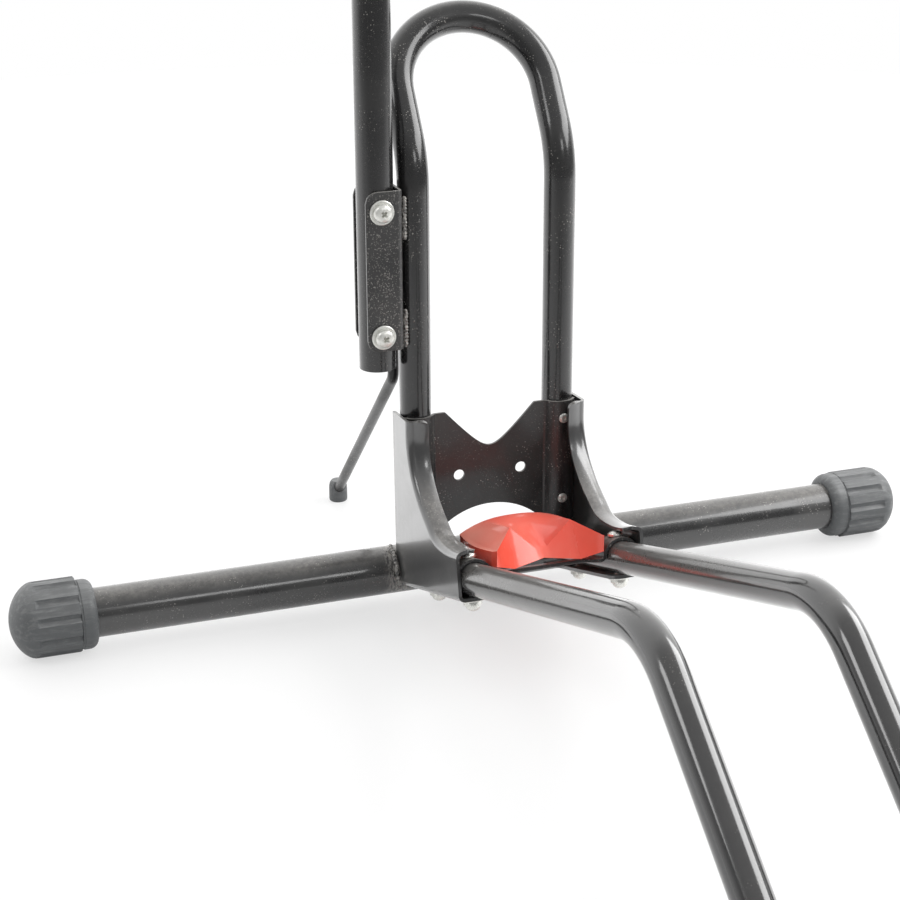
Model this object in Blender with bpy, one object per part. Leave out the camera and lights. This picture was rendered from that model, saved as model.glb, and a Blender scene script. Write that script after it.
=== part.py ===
"""A floor stand that holds a bicycle by one wheel, modelled as an assembly.

Metres, +Z up, floor at z = 0. +X runs along the cross tube and the rails reach towards -Y.
Everything is laid out from the cross tube's axis, then moved along Y to centre the stand.
"""

import math

import bmesh
import bpy
from mathutils import Matrix, Vector

# Clearances
GAP = 0.0003
RUNNING_FIT = 0.00006
BOLT_CLEARANCE = 0.0003

# Cross tube and its turning end caps
CROSS_R = 0.0175
CROSS_WALL = 0.002
CAP_TIP_X = 0.345
CAP_LENGTH = 0.059
CAP_DOME = 0.014
CAP_COLLAR = 0.0118
CAP_COLLAR_R = 0.0246
CAP_COLLAR_FILLET = 0.0034
CAP_RING_WIDTH = 0.0014
CAP_RING_DEPTH = 0.0010
CAP_END_WALL = 0.005
CAP_LANDS = 12
LAND_MID = 0.026
LAND_HIGH = 0.0276
LAND_LOW = 0.0244
GRIP_GROOVE = 0.0032

# Uprights: one tube bent into a hoop that leans back
HOOP_R = 0.0111
HOOP_WALL = 0.0016
HOOP_X = 0.0535
UPRIGHT_Y = -0.0162
UPRIGHT_FOOT_Z = 0.050
UPRIGHT_BEND_Z = 0.310
HOOP_BEND_R = 0.065
UPPER_LEAN = 35.0
UPPER_STRAIGHT = 0.030

# Rails: one tube bent into a hoop that rises, then falls to the floor
RAIL_RISE = 18.4
RAIL_FALL = 36.3
RAIL_START_Y = -0.030
RAIL_START_ABOVE_TUBE = 0.0127
RAIL_REAR_END = 0.005
RAIL_CORNER_U = 0.4045

# Side brackets, pressed from sheet
SHEET = 0.0023
BRACKET_TOP_REAR = (-0.0056, 0.1505)
BRACKET_REAR_LOW_Y = -0.009
LIP_PATH = (
    (-0.139, 0.0965),
    (-0.122, 0.0917),
    (-0.105, 0.0890),
    (-0.092, 0.0893),
    (-0.081, 0.0940),
    (-0.063, 0.1040),
    (-0.048, 0.1180),
    (-0.040, 0.1350),
    (-0.039, 0.1530),
)
LIP_WIDTH = 0.0148
LIP_SPLAY = 0.0035
LIP_SPLAY_FROM_Z = 0.105
LIP_BEND_R = 0.005
LIP_CORNER_R = 0.004
FLANGE_WIDTH = 0.0237
FLANGE_BEND_R = 0.0045
FLANGE_CORNER_R = 0.008
FLANGE_REAR_U = -0.0145
FLANGE_FRONT_U = 0.1187
TUBE_NOTCH_CLEARANCE = 0.0004

# Centre plate, wrapped round the uprights
PLATE_T = 0.002
PLATE_FACE_Y = -0.023
PLATE_TOP_Z = 0.1511
PLATE_FILLET = 0.003
PLATE_EDGE_ANGLE = 34.0
NOTCH_HALF_WIDTH = 0.0337
NOTCH_BOTTOM_Z = 0.1228
NOTCH_ROUND = 0.008
ARCH_TOP_Z = 0.0776
ARCH_R = 0.055
PLATE_LEG_Z = 0.058
PLATE_HOLE_X = 0.0235
PLATE_HOLE_Z = 0.1025
PLATE_HOLE_R = 0.004
PLATE_SCREW_Z = (0.0769, 0.1386)
PLATE_SCREW_R = 0.0019
PLATE_SCREW_HEAD_R = 0.00315
PLATE_SCREW_HEAD_H = 0.002
PLATE_SCREW_LENGTH = 0.008

# Rail bolts, saddle straps and dome nuts
RAIL_BOLT_U = (0.0311, 0.1051)
RAIL_BOLT_R = 0.003
RAIL_BOLT_HEAD_R = 0.0052
RAIL_BOLT_HEAD_H = 0.0038
STRAP_T = 0.0026
STRAP_WIDTH = 0.020
STRAP_OUTER_ANGLE = 50.0
STRAP_INNER_ANGLE = 75.0
STRAP_BEND_R = 0.003
STRAP_WAIST_X = 0.028
STRAP_WAIST_FRONT = -0.003
STRAP_WAIST_REAR = -0.011
NUT_FLANGE_R = 0.0078
NUT_FLANGE_T = 0.0013
NUT_HEX_HALF = 0.0055
NUT_HEX_H = 0.0028
NUT_DOME_H = 0.0040
BOLT_IN_NUT = 0.0058

# Red wheel saddle, in the rails' own slanted frame
SADDLE_SIDE_CLEARANCE = 0.00065
SADDLE_CHAMFER = 0.002
SADDLE_PEAK_X = 0.0219
SADDLE_TROUGH_X = 0.0045
SADDLE_REAR_U = 0.052
SADDLE_FRONT_U = 0.1225
SADDLE_SIDE_U = 0.1180
SADDLE_PEAK_U = 0.1050
SADDLE_TROUGH_U = 0.1010
SADDLE_ARCH_N = 0.0336
SADDLE_ARCH_SIDE_N = 0.0247
SADDLE_RIDGE_N = 0.030
SADDLE_SIDE_N = 0.0176
SADDLE_TROUGH_N = 0.0135
SADDLE_LEAN_MID = 0.005
SADDLE_LEAN_PEAK = 0.007
SADDLE_LEAN_SIDE = -0.0035
SADDLE_EDGE_N = 0.0066
SADDLE_EDGE_PEAK_N = 0.0030
SADDLE_EDGE_PEAK_X = 0.024
SADDLE_WALL = 0.0028
SADDLE_RIB_HALF = 0.012

# Post and the channel that clamps it
POST_R = 0.0127
POST_WALL = 0.0016
POST_BOTTOM_Z = 0.1883
POST_TOP_Z = 0.520
POST_CAP_HEAD = 0.003
POST_CAP_DEPTH = 0.014
CLAMP_BOTTOM_Z = 0.204
CLAMP_TOP_Z = 0.3155
CLAMP_STANDOFF = 0.0009
CLAMP_LEFT_X = -0.0918
CLAMP_BEND_R = 0.004
CLAMP_CORNER_R = 0.008
CLAMP_SCREW_Z = (0.2145, 0.3017)
CLAMP_SCREW_R = 0.004
CLAMP_SCREW_HEAD_R = 0.0065
CLAMP_SCREW_HEAD_H = 0.0048
CLAMP_WASHER_R = 0.0085
CLAMP_WASHER_T = 0.0016
CLAMP_NUT_HALF = 0.0065
CLAMP_NUT_H = 0.0065
CLAMP_SCREW_OVERHANG = 0.002

# Rear leg, a bent rod that swivels in a sleeve
ROD_R = 0.004
SLEEVE_R = 0.006
SLEEVE_X = -0.0627
SLEEVE_BOTTOM_Z = 0.206
SLEEVE_TOP_Z = 0.286
ROD_TOP_Z = 0.2925
ROD_BEND_Z = 0.172
ROD_BEND_R = 0.012
FOOT_X = -0.050
FOOT_Y = 0.203
FOOT_R = 0.0075
FOOT_H = 0.0175
ROD_END_Z = 0.009
RETAINER_R = 0.0062
RETAINER_H = 0.004

# Weld beads
WELD_R = 0.0021
BRACKET_WELD_ANGLES = (96.0, 178.0)
CLAMP_WELD_Z = ((0.2, 0.231), (0.28, 0.31))
SLEEVE_WELD_Z = (0.222, 0.270)

# Facets
TUBE_SIDES = 18
HOOP_SIDES = 16
CROSS_SIDES = 48
ROD_SIDES = 20
BOLT_SIDES = 12
BEAD_SIDES = 8

# What follows from the driving dimensions
TUBE_Z = LAND_MID
WEB_IN = HOOP_X + HOOP_R + GAP
WEB_OUT = WEB_IN + SHEET
TUBE_HALF = CAP_TIP_X - CAP_DOME - CAP_END_WALL
RISE = math.radians(RAIL_RISE)
FALL = math.radians(RAIL_FALL)
RAIL_START = Vector((RAIL_START_Y, TUBE_Z + RAIL_START_ABOVE_TUBE))
RAIL_ALONG = Vector((-math.cos(RISE), math.sin(RISE)))
RAIL_UP = Vector((math.sin(RISE), math.cos(RISE)))
FLANGE_N = -(HOOP_R + GAP + SHEET)
STRAP_IN = HOOP_R + GAP
STRAP_OUT = STRAP_IN + STRAP_T
SADDLE_HALF = HOOP_X - math.sqrt(STRAP_OUT ** 2 - SADDLE_EDGE_N ** 2) - SADDLE_SIDE_CLEARANCE
SADDLE_CHAMFER_X = SADDLE_HALF - SADDLE_CHAMFER
CLAMP_WEB_OUT = -(HOOP_X + HOOP_R + CLAMP_STANDOFF)
CLAMP_WEB_IN = CLAMP_WEB_OUT - SHEET
POST_X = CLAMP_WEB_IN - GAP - POST_R
CLAMP_HALF = POST_R + GAP + SHEET
SLEEVE_Y = UPRIGHT_Y + CLAMP_HALF + GAP + SLEEVE_R
RAIL_CORNER = RAIL_START + RAIL_ALONG * RAIL_CORNER_U
FALL_LENGTH = (RAIL_CORNER.y - HOOP_R) / math.sin(FALL)
FRONT_Y = RAIL_CORNER.x - FALL_LENGTH * math.cos(FALL)
CENTRE_Y = ((FRONT_Y - HOOP_R) + (FOOT_Y + FOOT_R)) / 2

LOOKS = {
    "black_paint": ((0.012, 0.012, 0.013), 0.32, 0.0),
    "grey_rubber": ((0.050, 0.052, 0.054), 0.62, 0.0),
    "zinc": ((0.62, 0.62, 0.60), 0.30, 1.0),
    "red_plastic": ((0.80, 0.055, 0.035), 0.25, 0.0),
    "black_plastic": ((0.015, 0.015, 0.016), 0.45, 0.0),
}


def clear_scene():
    for obj in list(bpy.data.objects):
        bpy.data.objects.remove(obj, do_unlink=True)


def paint(obj, look):
    """Give an object its own material in one of the stand's finishes."""
    color, roughness, metallic = LOOKS[look]
    material = bpy.data.materials.new(obj.name + "_" + look)
    material.use_nodes = True
    shader = material.node_tree.nodes["Principled BSDF"]
    shader.inputs["Base Color"].default_value = (*color, 1.0)
    shader.inputs["Roughness"].default_value = roughness
    shader.inputs["Metallic"].default_value = metallic
    obj.data.materials.append(material)


def add_object(name, bm, look, origin=(0, 0, 0), smooth=35.0):
    """Turn a bmesh in world places into an object with its origin at a given point."""
    bmesh.ops.translate(bm, verts=bm.verts, vec=-Vector(origin))
    mesh = bpy.data.meshes.new(name)
    bm.to_mesh(mesh)
    bm.free()
    mesh.shade_smooth()
    mesh.set_sharp_from_angle(angle=math.radians(smooth))
    obj = bpy.data.objects.new(name, mesh)
    obj.location = origin
    bpy.context.scene.collection.objects.link(obj)
    if look:
        paint(obj, look)
    return obj


def rail_point(x, u, n):
    """A point u along the rails and n above their axis."""
    place = RAIL_START + RAIL_ALONG * u + RAIL_UP * n
    return Vector((x, place.x, place.y))


def arc(centre, radius, start, end, steps):
    """Points of an arc in a plane, angles in degrees, both ends included."""
    points = []
    for step in range(steps + 1):
        angle = math.radians(start + (end - start) * step / steps)
        points.append(Vector(centre) + radius * Vector((math.cos(angle), math.sin(angle))))
    return points


def bend(corner, before, after, radius, steps):
    """Points that round a corner of a path, between two neighbouring points."""
    corner = Vector(corner)
    back = (Vector(before) - corner).normalized()
    on = (Vector(after) - corner).normalized()
    half = back.angle(on) / 2
    reach = radius / math.tan(half)
    centre = corner + (back + on).normalized() * (radius / math.sin(half))
    first = corner + back * reach - centre
    axis = first.cross(corner + on * reach - centre).normalized()
    turn = math.pi - 2 * half
    return [centre + Matrix.Rotation(turn * i / steps, 3, axis) @ first for i in range(steps + 1)]


def ring_frames(path):
    """Two directions square to the path at each of its points, carried along without twist."""
    tangents = []
    for i, point in enumerate(path):
        ahead = path[min(i + 1, len(path) - 1)]
        behind = path[max(i - 1, 0)]
        incoming = (point - behind).normalized()
        outgoing = (ahead - point).normalized()
        tangents.append((incoming + outgoing).normalized())
    side = tangents[0].orthogonal().normalized()
    frames = []
    for i, tangent in enumerate(tangents):
        if i:
            side = (side - tangent * side.dot(tangent)).normalized()
        frames.append((side, tangent.cross(side)))
    return frames


def sweep_mesh(path, outer, inner, sides):
    """A tube along a path, or a rod where inner is zero."""
    bm = bmesh.new()
    frames = ring_frames(path)

    def rings(radius):
        made = []
        for point, (across, up) in zip(path, frames):
            ring = []
            for k in range(sides):
                angle = 2 * math.pi * k / sides
                ring.append(bm.verts.new(point + radius * (math.cos(angle) * across + math.sin(angle) * up)))
            made.append(ring)
        return made

    def skin(made, outward):
        for first, second in zip(made, made[1:]):
            for k in range(sides):
                quad = (first[k], first[(k + 1) % sides], second[(k + 1) % sides], second[k])
                bm.faces.new(quad if outward else tuple(reversed(quad)))

    outside = rings(outer)
    skin(outside, True)
    if inner:
        inside = rings(inner)
        skin(inside, False)
        for k in range(sides):
            j = (k + 1) % sides
            bm.faces.new((outside[0][j], outside[0][k], inside[0][k], inside[0][j]))
            bm.faces.new((outside[-1][k], outside[-1][j], inside[-1][j], inside[-1][k]))
    else:
        bm.faces.new(tuple(reversed(outside[0])))
        bm.faces.new(tuple(outside[-1]))
    return bm


def turned_mesh(profile, base, axis, sides, start_angle=0.0):
    """Turn a profile of (radius, height, six_sided) round an axis through base.

    A profile that starts and ends on the axis closes there, and any other closes on itself.
    """
    bm = bmesh.new()
    axis = Vector(axis).normalized()
    helper = Vector((1, 0, 0)) if abs(axis.x) < 0.9 else Vector((0, 1, 0))
    across = (helper - axis * helper.dot(axis)).normalized()
    up = axis.cross(across)
    rings = []
    for radius, height, six_sided in profile:
        centre = Vector(base) + axis * height
        if radius == 0:
            rings.append([bm.verts.new(centre)] * sides)
            continue
        ring = []
        for k in range(sides):
            angle = 2 * math.pi * k / sides + start_angle
            reach = radius
            if six_sided:
                sector = math.pi / 3
                reach = radius / math.cos((angle % sector) - sector / 2)
            ring.append(bm.verts.new(centre + reach * (math.cos(angle) * across + math.sin(angle) * up)))
        rings.append(ring)
    pairs = list(zip(rings, rings[1:]))
    if profile[0][0]:
        pairs.append((rings[-1], rings[0]))
    for first, second in pairs:
        for k in range(sides):
            j = (k + 1) % sides
            corners = []
            for vert in (first[k], first[j], second[j], second[k]):
                if vert not in corners:
                    corners.append(vert)
            bm.faces.new(corners)
    bmesh.ops.recalc_face_normals(bm, faces=bm.faces)
    return bm


def round_profile(*points):
    return [(radius, height, False) for radius, height in points]


def cut(obj, cutter):
    """Take a cutter's shape out of an object."""
    modifier = obj.modifiers.new("cut", "BOOLEAN")
    modifier.operation = "DIFFERENCE"
    modifier.object = cutter
    modifier.solver = "EXACT"


def make_cutter(name, start, end, radius, sides=BOLT_SIDES):
    """A hidden rod that drills holes."""
    cutter = add_object(name, sweep_mesh([Vector(start), Vector(end)], radius, 0, sides), None)
    cutter.hide_render = True
    cutter.display_type = "WIRE"
    return cutter


def sheet_object(name, rows, facing, thickness, look, extra_faces=()):
    """A pressed sheet: strips between rows of points are its outer face, thickened inwards.

    facing gives, for a face centre, the direction its outer side looks to.
    """
    bm = bmesh.new()
    made = {}

    def vert(point):
        key = tuple(round(value, 7) for value in point)
        if key not in made:
            made[key] = bm.verts.new(point)
        return made[key]

    faces = [[vert(point) for point in face] for face in extra_faces]
    for first, second in rows:
        for i in range(len(first) - 1):
            quad = [vert(p) for p in (first[i], first[i + 1], second[i + 1], second[i])]
            faces.append(list(dict.fromkeys(quad)))
    for corners in faces:
        if len(corners) < 3:
            continue
        face = bm.faces.new(corners)
        face.normal_update()
        if face.normal.dot(facing(face.calc_center_median())) < 0:
            face.normal_flip()
    obj = add_object(name, bm, look)
    solid = obj.modifiers.new("thickness", "SOLIDIFY")
    solid.thickness = thickness
    solid.offset = -1
    solid.use_even_offset = True
    return obj


def corner_inset(distance, radius):
    """How far a rounded corner draws an edge in, at a distance from the sheet's end."""
    if distance >= radius:
        return 0.0
    return radius - math.sqrt(max(0.0, radius ** 2 - (radius - distance) ** 2))


CORNER_STEPS = (0.0, 0.1, 0.3, 0.6, 1.0)


def add_cross_tube():
    ends = [Vector((-TUBE_HALF, 0, TUBE_Z)), Vector((TUBE_HALF, 0, TUBE_Z))]
    bm = bmesh.new()
    rings = []
    for end in ends:
        for radius in (CROSS_R, CROSS_R - CROSS_WALL):
            ring = []
            for k in range(CROSS_SIDES):
                angle = 2 * math.pi * k / CROSS_SIDES
                ring.append(bm.verts.new(end + radius * Vector((0, math.cos(angle), math.sin(angle)))))
            rings.append(ring)
    for first, second in ((0, 1), (1, 3), (3, 2), (2, 0)):
        for k in range(CROSS_SIDES):
            j = (k + 1) % CROSS_SIDES
            bm.faces.new((rings[first][k], rings[first][j], rings[second][j], rings[second][k]))
    bmesh.ops.recalc_face_normals(bm, faces=bm.faces)
    add_object("cross_tube", bm, "black_paint")


def land_distance(turn):
    """How far the land at a turn of 0 to 360 degrees stands from the cap's axis."""
    stops = ((0, LAND_MID), (90, LAND_MID), (180, LAND_HIGH), (270, LAND_LOW), (360, LAND_MID))
    for (start, low), (end, high) in zip(stops, stops[1:]):
        if turn <= end:
            return low + (high - low) * (turn - start) / (end - start)
    return LAND_MID


def cap_outline(first_turn):
    """The cap's ring of flat lands with a rounded grip groove at each corner, as (y, z)."""
    pitch = 2 * math.pi / CAP_LANDS
    lands = []
    for k in range(CAP_LANDS):
        lands.append(land_distance((360 * k / CAP_LANDS + first_turn) % 360))
    outline = []
    for k in range(CAP_LANDS):
        near = lands[k]
        far = lands[(k + 1) % CAP_LANDS]
        middle = -math.pi / 2 + pitch * k
        normal = Vector((math.cos(middle), math.sin(middle)))
        along = Vector((-normal.y, normal.x))
        corner = normal * near + along * ((far - near * math.cos(pitch)) / math.sin(pitch))
        following = Matrix.Rotation(pitch, 2) @ along
        start = corner - along * GRIP_GROOVE
        end = corner + following * GRIP_GROOVE
        inward = -corner.normalized()
        outline.append(start)
        outline.append(start.lerp(end, 0.25) + inward * GRIP_GROOVE * 0.55)
        outline.append(start.lerp(end, 0.75) + inward * GRIP_GROOVE * 0.55)
        outline.append(end)
    return outline


def add_end_cap(name, side, first_turn):
    """A rubber cap whose lands lie at different distances, so that turning it levels the stand."""
    outline = cap_outline(first_turn)
    round_ring = [point.normalized() for point in outline]
    collar_x = CAP_TIP_X - CAP_LENGTH
    body_start = collar_x + CAP_COLLAR
    body_end = CAP_TIP_X - CAP_DOME
    lip_r = CAP_COLLAR_R - CAP_COLLAR_FILLET
    groove_r = CAP_COLLAR_R - CAP_RING_DEPTH
    stations = []
    for angle in (0, 45, 90):
        radians = math.radians(angle)
        radius = lip_r + CAP_COLLAR_FILLET * math.sin(radians)
        stations.append((collar_x + CAP_COLLAR_FILLET * (1 - math.cos(radians)), [p * radius for p in round_ring]))
    stations.append((body_start - CAP_RING_WIDTH, [p * CAP_COLLAR_R for p in round_ring]))
    stations.append((body_start - CAP_RING_WIDTH * 0.7, [p * groove_r for p in round_ring]))
    stations.append((body_start - CAP_RING_WIDTH * 0.2, [p * groove_r for p in round_ring]))
    stations.append((body_start, [p * (1 - CAP_RING_DEPTH / 2 / p.length) for p in outline]))
    stations.append((body_start + CAP_RING_WIDTH * 0.5, outline))
    stations.append((body_end, outline))
    for part in (0.35, 0.65, 0.88, 1.0):
        scale = math.sqrt(1 - (part * 0.93) ** 2)
        ring = [(p * (1 - part) + r * LAND_MID * part) * scale for p, r in zip(outline, round_ring)]
        stations.append((body_end + CAP_DOME * part, ring))
    bm = bmesh.new()
    rings = []
    for x, ring in stations:
        rings.append([bm.verts.new((side * x, p.x, p.y + TUBE_Z)) for p in ring])
    for first, second in zip(rings, rings[1:]):
        for k in range(len(first)):
            j = (k + 1) % len(first)
            bm.faces.new((first[k], first[j], second[j], second[k]))
    bm.faces.new(rings[-1])
    bore = []
    for x in (collar_x, TUBE_HALF + GAP):
        ring = []
        for k in range(CROSS_SIDES):
            angle = 2 * math.pi * k / CROSS_SIDES
            radius = CROSS_R + RUNNING_FIT
            ring.append(bm.verts.new((side * x, radius * math.cos(angle), radius * math.sin(angle) + TUBE_Z)))
        bore.append(ring)
    for k in range(CROSS_SIDES):
        j = (k + 1) % CROSS_SIDES
        bm.faces.new((bore[0][k], bore[0][j], bore[1][j], bore[1][k]))
    bm.faces.new(bore[1])
    edges = []
    for ring in (rings[0], bore[0]):
        for k in range(len(ring)):
            edges.append(bm.edges.get((ring[k], ring[(k + 1) % len(ring)])))
    bmesh.ops.triangle_fill(bm, use_beauty=True, edges=edges)
    bmesh.ops.recalc_face_normals(bm, faces=bm.faces)
    add_object(name, bm, "grey_rubber", (side * (body_start + body_end) / 2, 0, TUBE_Z))


def smooth_path(points, steps):
    """A curve through points, each with the tangent of its neighbours' chord."""
    points = [Vector(point) for point in points]
    ends = [points[0] * 2 - points[1]] + points + [points[-1] * 2 - points[-2]]
    curve = []
    for i in range(1, len(ends) - 2):
        a, b, c, d = ends[i - 1:i + 3]
        for step in range(steps):
            t = step / steps
            curve.append(0.5 * (2 * b + (c - a) * t + (2 * a - 5 * b + 4 * c - d) * t ** 2
                                + (3 * b - a - 3 * c + d) * t ** 3))
    curve.append(points[-1])
    return curve


def lip_stations():
    """Points along the lip's front edge with their outward directions and distances to its ends."""
    path = smooth_path(LIP_PATH, 3)
    for part in reversed(CORNER_STEPS[1:-1]):
        path.insert(1, path[0].lerp(path[1], 0) + (path[1] - path[0]).normalized() * LIP_CORNER_R * part)
    last = (path[-2] - path[-1]).normalized()
    for part in reversed(CORNER_STEPS[1:-1]):
        path.insert(-1, path[-1] + last * LIP_CORNER_R * part)
    along = [0.0]
    for first, second in zip(path, path[1:]):
        along.append(along[-1] + (second - first).length)
    stations = []
    for i, point in enumerate(path):
        ahead = path[min(i + 1, len(path) - 1)]
        behind = path[max(i - 1, 0)]
        tangent = (ahead - behind).normalized()
        normal = Vector((-tangent.y, tangent.x))
        to_end = min(along[i], along[-1] - along[i])
        stations.append((point, normal, to_end))
    return stations


def flange_stations():
    """Places along the rail where the bottom flange is built, with distances to its front end."""
    corner_u = FLANGE_FRONT_U - FLANGE_CORNER_R
    places = [FLANGE_REAR_U + (corner_u - FLANGE_REAR_U) * part for part in (0, 0.3, 0.6, 0.85)]
    for part in reversed(CORNER_STEPS):
        places.append(FLANGE_FRONT_U - FLANGE_CORNER_R * part)
    return [(u, FLANGE_FRONT_U - u) for u in places]


def add_bracket(name, side):
    """A pressed side plate with a turned-in front lip and a flange under the rail."""
    web_edge = []
    rows = []
    previous = None
    for point, normal, to_end in lip_stations():
        row = []
        for across, out in arc((WEB_OUT - LIP_BEND_R, -LIP_BEND_R), LIP_BEND_R, 0, 90, 4):
            place = point + normal * out
            row.append(Vector((side * across, place.x, place.y)))
        web_edge.append(row[0])
        splay = LIP_SPLAY * max(0.0, min(1.0, (point.y - LIP_SPLAY_FROM_Z) / 0.04))
        inner = WEB_OUT - LIP_WIDTH + corner_inset(to_end, LIP_CORNER_R)
        place = point + normal * splay
        row.append(Vector((side * inner, place.x, place.y)))
        if previous:
            rows.append((previous, row))
        previous = row
    flange_edge = []
    previous = None
    for u, to_end in flange_stations():
        row = []
        for across, out in arc((WEB_OUT - FLANGE_BEND_R, FLANGE_N + FLANGE_BEND_R), FLANGE_BEND_R, 0, -90, 4):
            row.append(rail_point(side * across, u, out))
        flange_edge.append(row[0])
        inner = WEB_OUT - FLANGE_WIDTH + corner_inset(to_end, FLANGE_CORNER_R)
        row.append(rail_point(side * inner, u, FLANGE_N))
        if previous:
            rows.append((previous, row))
        previous = row
    notch_r = CROSS_R + TUBE_NOTCH_CLEARANCE
    first_angle = 180 - math.degrees(math.acos(-BRACKET_REAR_LOW_Y / notch_r))
    web = [Vector((side * WEB_OUT, *BRACKET_TOP_REAR))]
    for y, z in arc((0, TUBE_Z), notch_r, first_angle, 176, 7):
        web.append(Vector((side * WEB_OUT, y, z)))
    web = web + flange_edge + web_edge

    def facing(centre):
        place = Vector((centre.y, centre.z)) - RAIL_START
        n = place.dot(RAIL_UP)
        if abs(abs(centre.x) - WEB_OUT) < GAP / 3:
            return Vector((side, 0, 0))
        if n < FLANGE_N + FLANGE_BEND_R + GAP:
            return Vector((side, -RAIL_UP.x, -RAIL_UP.y))
        return Vector((side, -1, 1))

    obj = sheet_object(name, rows, facing, SHEET, "black_paint", [web])
    for index, u in enumerate(RAIL_BOLT_U):
        cut(obj, bpy.data.objects[cutter_name("rail", side, index)])
    return obj


def cutter_name(kind, side, index):
    return kind + "_hole_" + ("left" if side < 0 else "right") + "_" + str(index)


def side_name(side):
    return "left" if side < 0 else "right"


def add_cutters():
    """Drills for the rail bolts, plate screws and clamp screws."""
    reach = 2 * HOOP_R
    for side in (-1, 1):
        for index, u in enumerate(RAIL_BOLT_U):
            start = rail_point(side * HOOP_X, u, -reach)
            end = rail_point(side * HOOP_X, u, reach)
            make_cutter(cutter_name("rail", side, index), start, end, RAIL_BOLT_R + BOLT_CLEARANCE)
        for index, z in enumerate(PLATE_SCREW_Z):
            start = (side * HOOP_X, UPRIGHT_Y - reach, z)
            make_cutter(cutter_name("plate", side, index), start, (side * HOOP_X, UPRIGHT_Y, z),
                        PLATE_SCREW_R + BOLT_CLEARANCE)
        make_cutter(cutter_name("round", side, 0), (side * PLATE_HOLE_X, PLATE_FACE_Y - reach, PLATE_HOLE_Z),
                    (side * PLATE_HOLE_X, PLATE_FACE_Y + reach, PLATE_HOLE_Z), PLATE_HOLE_R, 24)
    for index, z in enumerate(CLAMP_SCREW_Z):
        start = (POST_X, UPRIGHT_Y - 2 * CLAMP_HALF, z)
        make_cutter(cutter_name("clamp", -1, index), start, (POST_X, UPRIGHT_Y + 2 * CLAMP_HALF, z),
                    CLAMP_SCREW_R + BOLT_CLEARANCE)


def plate_bottom(x):
    """The centre plate's lower edge: an arch that ends in two legs."""
    if abs(x) >= ARCH_R:
        return PLATE_LEG_Z
    arch = ARCH_TOP_Z - ARCH_R + math.sqrt(ARCH_R ** 2 - x ** 2)
    return max(PLATE_LEG_Z, arch)


def plate_top(x):
    """The centre plate's upper edge with its rounded V notch."""
    if abs(x) >= NOTCH_HALF_WIDTH:
        return PLATE_TOP_Z
    drop = PLATE_TOP_Z - NOTCH_BOTTOM_Z
    slope = math.sqrt((drop + NOTCH_ROUND) ** 2 - NOTCH_ROUND ** 2) / NOTCH_HALF_WIDTH
    return NOTCH_BOTTOM_Z + math.sqrt((slope * x) ** 2 + NOTCH_ROUND ** 2) - NOTCH_ROUND


def add_centre_plate():
    """The plate between the brackets, with half-round ends that wrap the uprights' fronts."""
    wrap_r = HOOP_R + GAP + PLATE_T
    fillet_y = PLATE_FACE_Y - PLATE_FILLET
    fillet_x = HOOP_X - math.sqrt((wrap_r + PLATE_FILLET) ** 2 - (fillet_y - UPRIGHT_Y) ** 2)
    meet = math.degrees(math.atan2(UPRIGHT_Y - fillet_y, HOOP_X - fillet_x))
    half = []
    for part in (0, 0.08, 0.17, 0.28, 0.42, 0.6, 0.8, 1.0):
        half.append(Vector((NOTCH_HALF_WIDTH * part, PLATE_FACE_Y)))
    half.extend(arc((fillet_x, fillet_y), PLATE_FILLET, 90, meet, 3))
    half.extend(arc((HOOP_X, UPRIGHT_Y), wrap_r, 180 + meet, 360 - PLATE_EDGE_ANGLE, 10)[1:])
    plan = [Vector((-p.x, p.y)) for p in reversed(half[1:])] + half
    top = [Vector((p.x, p.y, plate_top(p.x))) for p in plan]
    bottom = [Vector((p.x, p.y, plate_bottom(p.x))) for p in plan]

    def facing(centre):
        if abs(centre.x) > HOOP_X - HOOP_R:
            return Vector((centre.x - math.copysign(HOOP_X, centre.x), centre.y - UPRIGHT_Y, 0))
        return Vector((0, -1, 0))

    obj = sheet_object("centre_plate", [(top, bottom)], facing, PLATE_T, "black_paint")
    for side in (-1, 1):
        cut(obj, bpy.data.objects[cutter_name("round", side, 0)])
        for index in range(len(PLATE_SCREW_Z)):
            cut(obj, bpy.data.objects[cutter_name("plate", side, index)])


def mirror_path(path):
    """A path from the left to the middle, carried on to its mirror image on the right."""
    return path + [Vector((-p.x, p.y, p.z)) for p in reversed(path[:-1])]


def hoop_end(centre, forward, steps):
    """Half of a hoop's half-circle end, from the left side to its apex on the middle plane."""
    points = []
    for step in range(steps + 1):
        angle = math.pi / 2 * step / steps
        points.append(centre + Vector((-HOOP_X * math.cos(angle), 0, 0)) + forward * HOOP_X * math.sin(angle))
    return points


def add_upper_hoop():
    """Both uprights and the top that joins them, one bent tube."""
    lean = math.radians(UPPER_LEAN)
    up = Vector((0, math.sin(lean), math.cos(lean)))
    corner_rise = HOOP_BEND_R * math.tan(lean / 2)
    corner = Vector((-HOOP_X, UPRIGHT_Y, UPRIGHT_BEND_Z + corner_rise))
    foot = Vector((-HOOP_X, UPRIGHT_Y, UPRIGHT_FOOT_Z))
    centre = corner + up * (corner_rise + UPPER_STRAIGHT)
    centre.x = 0
    path = [foot] + bend(corner, foot, corner + up, HOOP_BEND_R, 5) + hoop_end(centre, up, 8)
    obj = add_object("upper_hoop", sweep_mesh(mirror_path(path), HOOP_R, HOOP_R - HOOP_WALL, HOOP_SIDES),
                     "black_paint")
    for side in (-1, 1):
        for index in range(len(PLATE_SCREW_Z)):
            cut(obj, bpy.data.objects[cutter_name("plate", side, index)])


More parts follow.
